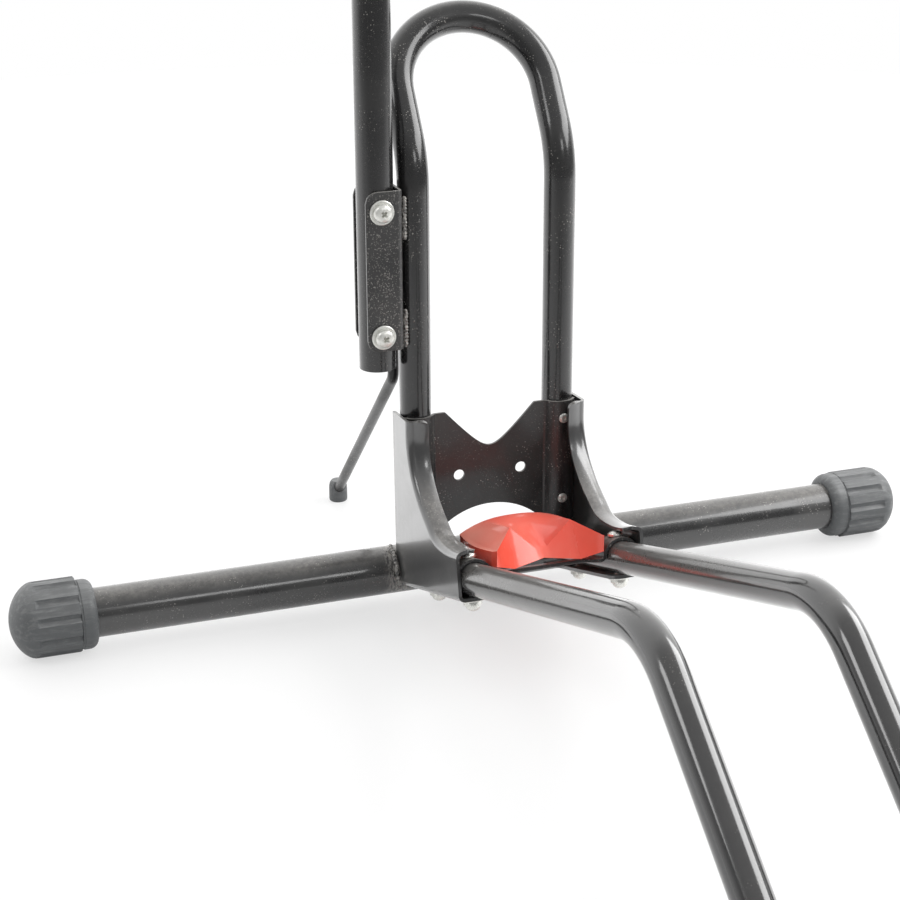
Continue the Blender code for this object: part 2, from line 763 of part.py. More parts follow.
def add_lower_hoop():
    """Both rails and the front that joins them on the floor, one bent tube."""
    start = rail_point(-HOOP_X, RAIL_REAR_END, 0)
    corner = rail_point(-HOOP_X, RAIL_CORNER_U, 0)
    down = Vector((0, -math.cos(FALL), -math.sin(FALL)))
    centre = corner + down * (FALL_LENGTH - HOOP_X)
    centre.x = 0
    path = [start] + bend(corner, start, corner + down, HOOP_BEND_R, 7) + hoop_end(centre, down, 8)
    obj = add_object("lower_hoop", sweep_mesh(mirror_path(path), HOOP_R, HOOP_R - HOOP_WALL, HOOP_SIDES),
                     "black_paint")
    for side in (-1, 1):
        for index in range(len(RAIL_BOLT_U)):
            cut(obj, bpy.data.objects[cutter_name("rail", side, index)])


def add_strap(name, index):
    """A strip pressed over both rails, which clamps them down and carries the saddle."""
    over = arc((-HOOP_X, 0), STRAP_OUT, 90 + STRAP_OUTER_ANGLE, 90 - STRAP_INNER_ANGLE, 12)
    heading = 90 - STRAP_INNER_ANGLE
    end = over[-1]
    direction = Vector((math.cos(math.radians(heading)), math.sin(math.radians(heading))))
    centre = end + direction * STRAP_BEND_R
    foot = arc(centre, STRAP_BEND_R, 180 + heading, 270, 4)[1:]
    shoulder = foot[-1]
    waist = [shoulder.lerp(Vector((-STRAP_WAIST_X, shoulder.y)), part) for part in (0.33, 0.67, 1.0)]
    half = over + foot + waist
    section = half + [Vector((-p.x, p.y)) for p in reversed(half)]
    u = RAIL_BOLT_U[index]
    rear = []
    front = []
    for p in section:
        back = mix(((STRAP_WAIST_X, STRAP_WAIST_REAR), (-shoulder.x, -STRAP_WIDTH / 2)), abs(p.x))
        ahead = mix(((STRAP_WAIST_X, STRAP_WAIST_FRONT), (-shoulder.x, STRAP_WIDTH / 2)), abs(p.x))
        rear.append(rail_point(p.x, u + back, p.y))
        front.append(rail_point(p.x, u + ahead, p.y))

    def facing(centre):
        place = Vector((centre.y, centre.z)) - RAIL_START
        n = place.dot(RAIL_UP)
        side = math.copysign(1, centre.x)
        if abs(centre.x) < HOOP_X - STRAP_OUT * 0.9:
            return Vector((0, RAIL_UP.x, RAIL_UP.y))
        return Vector((centre.x - side * HOOP_X, RAIL_UP.x * n, RAIL_UP.y * n))

    obj = sheet_object(name, [(rear, front)], facing, STRAP_T, "black_paint")
    for side in (-1, 1):
        cut(obj, bpy.data.objects[cutter_name("rail", side, index)])


def add_rail_fasteners():
    """A domed bolt and a dome nut at each place where strap, rail and bracket are clamped."""
    up = Vector((0, RAIL_UP.x, RAIL_UP.y))
    seat = STRAP_OUT + GAP
    nut_top = FLANGE_N - GAP
    bolt_end = nut_top - BOLT_IN_NUT
    for side in (-1, 1):
        for index, u in enumerate(RAIL_BOLT_U):
            label = ("rear", "front")[index] + "_" + side_name(side)
            base = rail_point(side * HOOP_X, u, 0)
            bolt = round_profile(
                (0, bolt_end),
                (RAIL_BOLT_R, bolt_end),
                (RAIL_BOLT_R, seat),
                (RAIL_BOLT_HEAD_R, seat),
                (RAIL_BOLT_HEAD_R, seat + RAIL_BOLT_HEAD_H * 0.45),
                (RAIL_BOLT_HEAD_R * 0.8, seat + RAIL_BOLT_HEAD_H * 0.85),
                (RAIL_BOLT_HEAD_R * 0.45, seat + RAIL_BOLT_HEAD_H),
                (0, seat + RAIL_BOLT_HEAD_H),
            )
            add_object("rail_bolt_" + label, turned_mesh(bolt, base, up, BOLT_SIDES), "zinc")
            flange = nut_top - NUT_FLANGE_T
            hex_end = flange - NUT_HEX_H
            bore = RAIL_BOLT_R + BOLT_CLEARANCE
            nut = [
                (0, bolt_end - GAP, False),
                (bore, bolt_end - GAP, False),
                (bore, nut_top, False),
                (NUT_FLANGE_R, nut_top, False),
                (NUT_FLANGE_R, flange, False),
                (NUT_HEX_HALF, flange, True),
                (NUT_HEX_HALF, hex_end, True),
                (NUT_HEX_HALF * 0.92, hex_end, False),
                (NUT_HEX_HALF * 0.85, hex_end - NUT_DOME_H * 0.5, False),
                (NUT_HEX_HALF * 0.5, hex_end - NUT_DOME_H * 0.9, False),
                (0, hex_end - NUT_DOME_H, False),
            ]
            add_object("dome_nut_" + label, turned_mesh(nut, base, up, BOLT_SIDES), "zinc")


def add_plate_screws():
    for side in (-1, 1):
        for index, z in enumerate(PLATE_SCREW_Z):
            base = (side * HOOP_X, UPRIGHT_Y - HOOP_R - 2 * GAP - PLATE_T, z)
            screw = round_profile(
                (0, -PLATE_SCREW_LENGTH),
                (PLATE_SCREW_R, -PLATE_SCREW_LENGTH),
                (PLATE_SCREW_R, 0),
                (PLATE_SCREW_HEAD_R, 0),
                (PLATE_SCREW_HEAD_R, PLATE_SCREW_HEAD_H * 0.5),
                (PLATE_SCREW_HEAD_R * 0.6, PLATE_SCREW_HEAD_H),
                (0, PLATE_SCREW_HEAD_H),
            )
            name = "plate_screw_" + ("lower", "upper")[index] + "_" + side_name(side)
            add_object(name, turned_mesh(screw, base, (0, -1, 0), BOLT_SIDES), "zinc")


def mix(stops, value):
    """Read a piecewise straight line given as (place, height) stops, level beyond its ends."""
    if value <= stops[0][0]:
        return stops[0][1]
    for (start, low), (end, high) in zip(stops, stops[1:]):
        if value <= end:
            return low + (high - low) * (value - start) / (end - start)
    return stops[-1][1]


def saddle_columns():
    inner = SADDLE_HALF - SADDLE_WALL
    half = [
        0.0,
        SADDLE_TROUGH_X,
        (SADDLE_TROUGH_X + SADDLE_PEAK_X) * 0.4,
        SADDLE_RIB_HALF,
        (SADDLE_TROUGH_X + SADDLE_PEAK_X) * 0.7,
        SADDLE_PEAK_X,
        SADDLE_EDGE_PEAK_X,
        SADDLE_PEAK_X * 0.5 + SADDLE_CHAMFER_X * 0.5,
        inner - GAP,
        inner,
        SADDLE_CHAMFER_X,
        SADDLE_HALF,
    ]
    half = sorted(half)
    return [-x for x in reversed(half[1:])] + half


def saddle_height(x, part):
    """The saddle's top, from the arch at its rear (0) to the V trough at its front (1)."""
    across = abs(x)
    arch = SADDLE_ARCH_N - (SADDLE_ARCH_N - SADDLE_ARCH_SIDE_N) * (across / SADDLE_HALF) ** 2.4
    front = mix((
        (0, SADDLE_TROUGH_N),
        (SADDLE_TROUGH_X, SADDLE_TROUGH_N + GAP),
        (SADDLE_PEAK_X, SADDLE_RIDGE_N),
        (SADDLE_CHAMFER_X, SADDLE_SIDE_N),
        (SADDLE_HALF, SADDLE_SIDE_N - GAP),
    ), across)
    side = (across / SADDLE_HALF) ** 2
    ease = (1 - side) * part ** 1.4 + side * (1 - (1 - part) ** 3.5)
    return arch + (front - arch) * ease


def saddle_front(x):
    """Where the top's front edge lies along the rails."""
    return mix((
        (0, SADDLE_TROUGH_U),
        (SADDLE_PEAK_X, SADDLE_PEAK_U),
        (SADDLE_CHAMFER_X, SADDLE_FRONT_U),
        (SADDLE_HALF, SADDLE_SIDE_U),
    ), abs(x))


def saddle_edge(x):
    """The lower edge of the saddle's walls."""
    return mix((
        (0, SADDLE_EDGE_N),
        (SADDLE_EDGE_PEAK_X, SADDLE_EDGE_PEAK_N),
        (SADDLE_CHAMFER_X, SADDLE_EDGE_N),
        (SADDLE_HALF, SADDLE_EDGE_N),
    ), abs(x))


def saddle_lean(x):
    """How far the front wall's lower edge stands in front of its upper edge."""
    return mix((
        (0, SADDLE_LEAN_MID),
        (SADDLE_PEAK_X, SADDLE_LEAN_PEAK),
        (SADDLE_CHAMFER_X, SADDLE_LEAN_SIDE),
    ), abs(x))


def add_wheel_saddle():
    """The moulded cradle that the tyre sits in: a hollow shell with a V trough."""
    columns = saddle_columns()
    parts = (0.0, 0.10, 0.22, 0.36, 0.52, 0.66, 0.79, 0.89, 0.93, 0.935, 1.0)
    strap_top = rail_strap_top()
    strap_rear = RAIL_BOLT_U[1] - STRAP_WIDTH / 2
    bm = bmesh.new()
    upper = []
    lower = []
    for part in parts:
        top_row = []
        low_row = []
        for x in columns:
            front = saddle_front(x)
            u = SADDLE_REAR_U + (front - SADDLE_REAR_U) * part
            n = saddle_height(x, part)
            top_row.append(bm.verts.new(rail_point(x, u, n)))
            at_wall = abs(x) > SADDLE_HALF - SADDLE_WALL - GAP / 2 or part > 0.932
            under = n - SADDLE_WALL
            if at_wall:
                under = saddle_edge(x)
            elif part > 0.8 and abs(x) < SADDLE_RIB_HALF + GAP and u > strap_rear:
                under = strap_top + GAP
            lean = saddle_lean(x) * max(0.0, part - 0.9) * 10
            low_row.append(bm.verts.new(rail_point(x, u + lean, under)))
        upper.append(top_row)
        lower.append(low_row)
    last = len(columns) - 1
    for i in range(len(parts) - 1):
        for j in range(last):
            bm.faces.new((upper[i][j], upper[i][j + 1], upper[i + 1][j + 1], upper[i + 1][j]))
            bm.faces.new((lower[i][j], lower[i + 1][j], lower[i + 1][j + 1], lower[i][j + 1]))
        bm.faces.new((upper[i][0], upper[i + 1][0], lower[i + 1][0], lower[i][0]))
        bm.faces.new((upper[i][last], lower[i][last], lower[i + 1][last], upper[i + 1][last]))
    for i in (0, len(parts) - 1):
        for j in range(last):
            bm.faces.new((upper[i][j], lower[i][j], lower[i][j + 1], upper[i][j + 1]))
    bmesh.ops.recalc_face_normals(bm, faces=bm.faces)
    add_object("wheel_saddle", bm, "red_plastic", smooth=22.0)


def rail_strap_top():
    """How high the flat of a strap lies above the rails' axis."""
    heading = math.radians(90 - STRAP_INNER_ANGLE)
    return (STRAP_OUT + STRAP_BEND_R) * math.sin(heading) - STRAP_BEND_R


def add_post_clamp():
    """A channel, open to the left, welded beside the left upright."""
    front = UPRIGHT_Y - CLAMP_HALF
    rear = UPRIGHT_Y + CLAMP_HALF
    bend_x = CLAMP_WEB_OUT - CLAMP_BEND_R
    edge = [CLAMP_LEFT_X + CLAMP_CORNER_R * part for part in CORNER_STEPS]
    plan = [Vector((x, front)) for x in edge]
    plan += arc((bend_x, front + CLAMP_BEND_R), CLAMP_BEND_R, -90, 0, 4)
    plan += arc((bend_x, rear - CLAMP_BEND_R), CLAMP_BEND_R, 0, 90, 4)
    plan += [Vector((x, rear)) for x in reversed(edge)]
    top = []
    bottom = []
    for p in plan:
        inset = corner_inset(p.x - CLAMP_LEFT_X, CLAMP_CORNER_R)
        top.append(Vector((p.x, p.y, CLAMP_TOP_Z - inset)))
        bottom.append(Vector((p.x, p.y, CLAMP_BOTTOM_Z + inset)))

    def facing(centre):
        return Vector((1 if centre.x > bend_x else 0, centre.y - UPRIGHT_Y, 0))

    obj = sheet_object("post_clamp", [(top, bottom)], facing, SHEET, "black_paint")
    for index in range(len(CLAMP_SCREW_Z)):
        cut(obj, bpy.data.objects[cutter_name("clamp", -1, index)])


def add_post():
    path = [Vector((POST_X, UPRIGHT_Y, POST_BOTTOM_Z)), Vector((POST_X, UPRIGHT_Y, POST_TOP_Z))]
    obj = add_object("post", sweep_mesh(path, POST_R, POST_R - POST_WALL, TUBE_SIDES), "black_paint")
    for index in range(len(CLAMP_SCREW_Z)):
        cut(obj, bpy.data.objects[cutter_name("clamp", -1, index)])
    plug_r = POST_R - POST_WALL - GAP
    plug = round_profile(
        (0, -POST_CAP_DEPTH),
        (plug_r, -POST_CAP_DEPTH),
        (plug_r, GAP),
        (POST_R, GAP),
        (POST_R, POST_CAP_HEAD * 0.6),
        (POST_R * 0.85, POST_CAP_HEAD),
        (0, POST_CAP_HEAD),
    )
    base = (POST_X, UPRIGHT_Y, POST_TOP_Z)
    add_object("post_cap", turned_mesh(plug, base, (0, 0, 1), TUBE_SIDES), "black_plastic")


def add_clamp_fasteners():
    """Through screws with washers in front and nuts behind."""
    front = UPRIGHT_Y - CLAMP_HALF - GAP
    rear = UPRIGHT_Y + CLAMP_HALF + GAP
    bore = CLAMP_SCREW_R + BOLT_CLEARANCE
    for index, z in enumerate(CLAMP_SCREW_Z):
        label = ("lower", "upper")[index]
        washer = round_profile(
            (bore, 0),
            (CLAMP_WASHER_R, 0),
            (CLAMP_WASHER_R, CLAMP_WASHER_T),
            (bore, CLAMP_WASHER_T),
        )
        add_object("clamp_washer_" + label, turned_mesh(washer, (POST_X, front, z), (0, -1, 0), TUBE_SIDES), "zinc")
        seat = front - CLAMP_WASHER_T - GAP
        length = rear + CLAMP_NUT_H + CLAMP_SCREW_OVERHANG - seat
        screw = round_profile(
            (0, -length),
            (CLAMP_SCREW_R, -length),
            (CLAMP_SCREW_R, 0),
            (CLAMP_SCREW_HEAD_R, 0),
            (CLAMP_SCREW_HEAD_R, CLAMP_SCREW_HEAD_H * 0.4),
            (CLAMP_SCREW_HEAD_R * 0.85, CLAMP_SCREW_HEAD_H * 0.8),
            (CLAMP_SCREW_HEAD_R * 0.5, CLAMP_SCREW_HEAD_H),
            (0, CLAMP_SCREW_HEAD_H),
        )
        add_object("clamp_screw_" + label, turned_mesh(screw, (POST_X, seat, z), (0, -1, 0), TUBE_SIDES), "zinc")
        nut = [
            (bore, 0, False),
            (CLAMP_NUT_HALF, 0, True),
            (CLAMP_NUT_HALF, CLAMP_NUT_H, True),
            (bore, CLAMP_NUT_H, False),
        ]
        add_object("clamp_nut_" + label, turned_mesh(nut, (POST_X, rear, z), (0, 1, 0), TUBE_SIDES), "zinc")


def add_leg():
    """The sleeve on the clamp's back, and the leg that swivels in it."""
    sleeve = [Vector((SLEEVE_X, SLEEVE_Y, SLEEVE_BOTTOM_Z)), Vector((SLEEVE_X, SLEEVE_Y, SLEEVE_TOP_Z))]
    add_object("leg_sleeve", sweep_mesh(sleeve, SLEEVE_R, ROD_R + RUNNING_FIT, ROD_SIDES), "black_paint")
    pivot = (SLEEVE_X, SLEEVE_Y, 0)
    top = Vector((SLEEVE_X, SLEEVE_Y, ROD_TOP_Z))
    corner = Vector((SLEEVE_X, SLEEVE_Y, ROD_BEND_Z))
    end = Vector((FOOT_X, FOOT_Y, ROD_END_Z))
    path = [top] + bend(corner, top, end, ROD_BEND_R, 5) + [end]
    add_object("leg_rod", sweep_mesh(path, ROD_R, 0, ROD_SIDES), "black_paint", pivot)
    retainer = round_profile(
        (ROD_R + GAP, 0),
        (RETAINER_R, 0),
        (RETAINER_R, RETAINER_H * 0.6),
        (RETAINER_R * 0.85, RETAINER_H),
        (ROD_R + GAP, RETAINER_H),
    )
    seat = (SLEEVE_X, SLEEVE_Y, SLEEVE_TOP_Z + GAP)
    add_object("leg_retainer", turned_mesh(retainer, seat, (0, 0, 1), ROD_SIDES), "zinc", pivot)
    foot = round_profile(
        (0, 0),
        (FOOT_R, 0),
        (FOOT_R, FOOT_H * 0.85),
        (FOOT_R * 0.85, FOOT_H),
        (0, FOOT_H),
    )
    obj = add_object("leg_foot", turned_mesh(foot, (FOOT_X, FOOT_Y, 0), (0, 0, 1), ROD_SIDES), "grey_rubber", pivot)
    slope = (corner - end).normalized()
    make_cutter("foot_socket", end - slope * GAP * 2, end + slope * FOOT_H * 2, ROD_R + GAP, ROD_SIDES)
    cut(obj, bpy.data.objects["foot_socket"])


def add_welds():
    """Beads that join the brackets to the cross tube, the clamp to the upright and the sleeve."""
    bead_r = CROSS_R + GAP + WELD_R
    for side in (-1, 1):
        x = side * (WEB_OUT + GAP + WELD_R)
        path = [Vector((x, p.x, p.y)) for p in arc((0, TUBE_Z), bead_r, *BRACKET_WELD_ANGLES, 10)]
        add_object("bracket_weld_" + side_name(side), sweep_mesh(path, WELD_R, 0, BEAD_SIDES), "black_paint")
    for label, (low, high) in zip(("lower", "upper"), CLAMP_WELD_Z):
        touch = HOOP_R + GAP + WELD_R
        place_x = CLAMP_WEB_OUT + GAP + WELD_R
        offset = place_x + HOOP_X
        y = UPRIGHT_Y - math.sqrt(touch ** 2 - offset ** 2)
        low = max(low, CLAMP_BOTTOM_Z)
        path = [Vector((place_x, y, low + (high - low) * i / 4)) for i in range(5)]
        add_object("clamp_weld_" + label, sweep_mesh(path, WELD_R, 0, BEAD_SIDES), "black_paint")
    low, high = SLEEVE_WELD_Z
    flange_y = UPRIGHT_Y + CLAMP_HALF + GAP + WELD_R
    reach = SLEEVE_R + GAP + WELD_R
    x = SLEEVE_X - math.sqrt(reach ** 2 - (SLEEVE_Y - flange_y) ** 2)
    path = [Vector((x, flange_y, low + (high - low) * i / 4)) for i in range(5)]
    add_object("sleeve_weld", sweep_mesh(path, WELD_R, 0, BEAD_SIDES), "black_paint")


def main():
    clear_scene()
    add_cutters()
    add_cross_tube()
    add_end_cap("end_cap_left", -1, 0)
    add_end_cap("end_cap_right", 1, 90)
    add_bracket("bracket_left", -1)
    add_bracket("bracket_right", 1)
    add_centre_plate()
    add_upper_hoop()
    add_lower_hoop()
    add_strap("saddle_strap_rear", 0)
    add_strap("saddle_strap_front", 1)
    add_rail_fasteners()
    add_plate_screws()
    add_wheel_saddle()
    add_post_clamp()
    add_post()
    add_clamp_fasteners()
    add_leg()
    add_welds()
    for obj in bpy.data.objects:
        obj.location.y -= CENTRE_Y


main()
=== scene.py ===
"""The looks of a floor stand that holds a bicycle by one wheel.

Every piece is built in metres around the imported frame: +X runs along the cross tube, the rails reach
towards -Y and the floor is z = 0. Shapes are laid out from the cross tube's axis and moved with it.
"""

import math
from functools import partial

import bmesh
import bpy
from mathutils import Matrix, Vector, noise


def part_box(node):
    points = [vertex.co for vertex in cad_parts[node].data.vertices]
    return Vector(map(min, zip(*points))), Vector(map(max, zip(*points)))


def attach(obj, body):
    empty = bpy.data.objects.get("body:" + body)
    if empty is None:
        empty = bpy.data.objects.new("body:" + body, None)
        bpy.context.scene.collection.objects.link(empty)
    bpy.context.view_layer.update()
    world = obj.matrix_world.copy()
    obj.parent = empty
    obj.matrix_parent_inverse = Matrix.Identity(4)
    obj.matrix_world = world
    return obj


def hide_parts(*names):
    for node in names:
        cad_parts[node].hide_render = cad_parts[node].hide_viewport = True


bl_info = {
    "name": "Bike stand finish",
    "version": (1, 0, 0),
    "blender": (4, 5, 0),
    "location": "View3D > Sidebar > Bike stand",
    "description": "Builds the painted, moulded and plated pieces of a wheel-holding floor stand",
    "category": "Object",
}

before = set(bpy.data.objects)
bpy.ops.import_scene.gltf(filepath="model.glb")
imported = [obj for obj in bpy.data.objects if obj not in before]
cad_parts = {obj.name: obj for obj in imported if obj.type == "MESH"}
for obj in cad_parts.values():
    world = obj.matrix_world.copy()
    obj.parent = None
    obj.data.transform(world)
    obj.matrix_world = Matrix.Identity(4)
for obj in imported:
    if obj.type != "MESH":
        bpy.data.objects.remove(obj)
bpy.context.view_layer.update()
TUBE_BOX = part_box("cross_tube")
AXIS_Y = (TUBE_BOX[0].y + TUBE_BOX[1].y) / 2
AXIS_Z = (TUBE_BOX[0].z + TUBE_BOX[1].z) / 2
TUBE_HALF = (TUBE_BOX[1].x - TUBE_BOX[0].x) / 2
TUBE_RADIUS = (TUBE_BOX[1].z - TUBE_BOX[0].z) / 2
SIDES = (("left", -1), ("right", 1))

# Clearances, and the rounding of a tube's cut edges
GAP = 0.0003
BORE_FIT = 0.00006
NOTCH_CLEARANCE = 0.0004
CLAMP_STANDOFF = 0.0009
TUBE_EDGE = 0.0003

# Facets and steps of round forms
ROUND = 96
FINE = 48
BEND_STEPS = 20
STRAIGHT_STEPS = 60
PRESS_STEPS = 10
NOTCH_STEPS = 24
LIP_STEPS = 70
LIP_ROWS = 8
FLANGE_STEPS = 12
PLATE_STEPS = 36
STRAP_STEPS = 40
COLLAR_STEPS = 12
GROOVE_STEPS = 8
DOME_STEPS = 18
SADDLE_ROWS = 30
SADDLE_PITCH = 0.0016
HEAD_SIDES = 64
NUT_SIDES = 72
BEAD_SIDES = 20
BEAD_ARC_STEPS = 90
CORNER_PARTS = (0.0, 0.16, 0.38, 0.67, 1.0)

# The caps: how many lands, where the first lies (degrees), how steep a crease stays sharp (degrees),
# the collar's rounded edge and the fading of the grooves
LANDS = 12
FIRST_LANDS = {"left": 0, "right": 90}
CAP_CREASE = 17.0
COLLAR_LIP = 0.0012
COLLAR_ROUND = 0.0062
GROOVE_FADE = 0.0030

# The brackets' outline as (y, z) from the cross tube's axis, how their lips open and bulge, and where
# the notch for the cross tube ends, in degrees
LIP_PATH = ((-0.139, 0.0965), (-0.122, 0.0917), (-0.105, 0.0890), (-0.092, 0.0893), (-0.081, 0.0940),
            (-0.063, 0.1040), (-0.048, 0.1180), (-0.040, 0.1350), (-0.039, 0.1530))
LIP_SPLAY_FROM_Z = 0.105
LIP_SPLAY_RISE = 0.04
LIP_CROWN = 0.0007
NOTCH_END_ANGLE = 176
BRACKET_TOP_REAR = (-0.0056, 0.1505)
BRACKET_REAR_LOW_Y = -0.009

# How far plate and straps reach round the tubes, in degrees, and the straps' inner bend
PLATE_EDGE_ANGLE = 34
STRAP_OUTER_ANGLE = 50
STRAP_INNER_ANGLE = 75
STRAP_BEND = 0.003

# Places of the fasteners, along the rails or above the floor
RAIL_BOLT_PLACES = (0.0311, 0.1051)
PLATE_SCREW_HEIGHTS = (0.0769, 0.1386)
CLAMP_SCREW_HEIGHTS = (0.2145, 0.3017)

# Length of one drop of a weld, the arc that the brackets' beads cover (degrees), balls of spatter
# beside a bead, and the straight beads' pieces
WELD_DROP = 0.0024
BEAD_ARC = (96, 178)
BRACKET_SPATTER = 26
CLAMP_SPATTER = 22
BEADS = {
    "clamp_weld_lower": "bead_lower",
    "clamp_weld_upper": "bead_upper",
    "sleeve_weld": "bead_sleeve",
}

# Creases above this angle (degrees) get a rounded edge, and the noise starts here
BEVEL_ANGLE = 50
NOISE_SEED = 7

# Width of the camera's sensor in millimetres, then name, power, place, target and size of each lamp
SENSOR = 36
LAMPS = (
    ("softbox_right", "right", (1.22, -0.20, 1.12), (0.0, 0.0, 0.1), (1.60, 0.80)),
    ("lamp_left", "left", (-1.60, -0.20, 1.60), (0.0, -0.1, 0.1), (0.60, 0.60)),
    ("lamp_front", "front", (0.35, -1.80, 1.30), (-0.1, AXIS_Y, 0.0), (0.50, 0.40)),
)


def groups(*names):
    """The scene's property groups by these names."""
    return [getattr(bpy.context.scene, "stand_" + name) for name in names]


def number(name, default, description, **settings):
    """A plain number of the panel."""
    return bpy.props.FloatProperty(name=name, default=default, description=description, **settings)


def length(name, default, description):
    """A length in metres."""
    return number(name, default, description, unit="LENGTH", precision=5, soft_min=-1.0, soft_max=1.0)


def angle(name, degrees, description):
    """An angle, given in degrees."""
    return number(name, math.radians(degrees), description, subtype="ANGLE")


def share(name, default, description):
    """A share from 0 to 1."""
    return number(name, default, description, min=0.0, max=1.0, subtype="FACTOR")


def power(name, default, description):
    """The power of a lamp in watts."""
    return number(name, default, description, unit="POWER")


def colour(name, default, description):
    """A colour as red, green and blue."""
    return bpy.props.FloatVectorProperty(name=name, default=default, description=description, size=3,
                                         min=0.0, max=1.0, subtype="COLOR")


class TubeSizes(bpy.types.PropertyGroup):
    """The bent and straight tubes."""

    cross_radius: length("Cross tube radius", TUBE_RADIUS, "Outside of the cross tube")
    cross_wall: length("Cross tube wall", 0.002, "Wall of the cross tube")
    hoop_radius: length("Hoop radius", 0.0111, "Outside of the uprights and rails")
    hoop_wall: length("Hoop wall", 0.0016, "Wall of the uprights and rails")
    hoop_x: length("Hoop spread", 0.0535, "Distance of the uprights and rails from the middle")
    bend_radius: length("Bend radius", 0.065, "Centre line of the tube bends")
    upright_y: length("Upright place", -0.0162, "The uprights' axis from the cross tube's axis")
    upright_foot: length("Upright foot", 0.050, "Height of the uprights' lower ends")
    upright_bend: length("Upright bend", 0.310, "Height where the uprights start to lean back")
    upright_lean: angle("Upright lean", 35.0, "Lean of the upper hoop to the rear")
    upright_straight: length("Upper straight", 0.030, "Straight part above the bend")
    rail_rise: angle("Rail rise", 18.4, "Slope of the rails beside the saddle")
    rail_fall: angle("Rail fall", 36.3, "Slope of the rails' front part")
    rail_y: length("Rail start", -0.030, "Where the rails' measure starts, from the cross tube's axis")
    rail_above: length("Rail height", 0.0127, "Height of that start above the cross tube's axis")
    rail_rear: length("Rail rear end", 0.005, "Rear end of the rails on their own measure")
    rail_corner: length("Rail corner", 0.4045, "Corner where the rails turn down, on their own measure")
    post_radius: length("Post radius", 0.0127, "Outside of the clamped post")
    post_bottom: length("Post bottom", 0.1883, "Height of the post's open end")
    post_top: length("Post top", 0.520, "Height of the post's plugged end")
    plug_depth: length("Plug depth", 0.014, "How far the plug reaches into the post")


class SheetSizes(bpy.types.PropertyGroup):
    """The pressed sheets."""

    sheet: length("Sheet", 0.0023, "Thickness of the brackets and the clamp")
    plate: length("Plate", 0.002, "Thickness of the centre plate")
    edge: length("Edge rounding", 0.00045, "Rounding of the sheets' cut edges")
    lip_width: length("Lip width", 0.0148, "Width of the brackets' front lip")
    lip_bend: length("Lip bend", 0.005, "Bend radius of the lip")
    lip_corner: length("Lip corner", 0.004, "Rounded corners of the lip")
    lip_splay: length("Lip splay", 0.0035, "How far the lip's upper part opens")
    flange_width: length("Flange width", 0.0237, "Width of the flange under the rail")
    flange_bend: length("Flange bend", 0.0045, "Bend radius of the flange")
    flange_corner: length("Flange corner", 0.008, "Rounded front corner of the flange")
    flange_rear: length("Flange rear", -0.0145, "Rear end of the flange along the rail")
    flange_front: length("Flange front", 0.1187, "Front end of the flange along the rail")
    plate_face: length("Plate face", -0.023, "Front face of the centre plate")
    plate_fillet: length("Plate fillet", 0.003, "Bend between the plate's face and its wings")
    plate_top: length("Plate top", 0.1511, "Height of the plate's upper edge")
    notch_half: length("Notch half width", 0.0337, "Half of the V notch at the plate's top")
    notch_bottom: length("Notch bottom", 0.1228, "Height of the notch's bottom")
    notch_round: length("Notch rounding", 0.011, "Rounding of the notch's bottom")
    arch_top: length("Arch top", 0.0776, "Height of the arch below the plate")
    arch_radius: length("Arch radius", 0.055, "Radius of that arch")
    plate_leg: length("Plate leg", 0.058, "Height of the plate's lowest edges")
    hole_x: length("Hole spread", 0.0235, "Distance of the round holes from the middle")
    hole_z: length("Hole height", 0.1025, "Height of the round holes")
    hole_radius: length("Hole radius", 0.004, "Radius of the round holes")
    clamp_left: length("Clamp edge", -0.0918, "Left edge of the post clamp")
    clamp_bottom: length("Clamp bottom", 0.204, "Height of the clamp's lower end")
    clamp_top: length("Clamp top", 0.3155, "Height of the clamp's upper end")
    clamp_bend: length("Clamp bend", 0.004, "Bend radius of the clamp")
    clamp_corner: length("Clamp corner", 0.008, "Rounded corners of the clamp")
    strap: length("Strap", 0.0026, "Thickness of the saddle straps")
    strap_width: length("Strap width", 0.020, "Width of the saddle straps over the rails")
    waist_x: length("Strap waist", 0.028, "Where the straps' waist begins, from the middle")
    waist_front: length("Waist front", -0.003, "Front edge of the waist, from the bolts")
    waist_rear: length("Waist rear", -0.011, "Rear edge of the waist, from the bolts")


class CapSizes(bpy.types.PropertyGroup):
    """The turning rubber caps and the foot."""

    tip: length("Tip", 0.345, "Distance of a cap's tip from the middle")
    span: length("Length", 0.059, "Length of a cap")
    dome: length("Dome", 0.0170, "Length of the rounded end")
    collar: length("Collar", 0.0118, "Length of the smooth collar")
    collar_radius: length("Collar radius", 0.0246, "Outside of the collar")
    ring_width: length("Ring groove", 0.0018, "Width of the groove beside the collar")
    ring_depth: length("Ring depth", 0.0005, "Depth of that groove")
    land_mid: length("Middle land", AXIS_Z, "Distance of the middle lands from the axis")
    land_high: length("High land", 0.0276, "Distance of the highest land")
    land_low: length("Low land", 0.0244, "Distance of the lowest land")
    groove: length("Grip groove", 0.0032, "Half width of a grip groove")
    foot_x: length("Foot place X", -0.050, "Foot of the rear leg")
    foot_y: length("Foot place Y", 0.203, "Foot of the rear leg, from the cross tube's axis")
    foot_radius: length("Foot radius", 0.0075, "Outside of the rubber foot")
    foot_height: length("Foot height", 0.0175, "Height of the rubber foot")


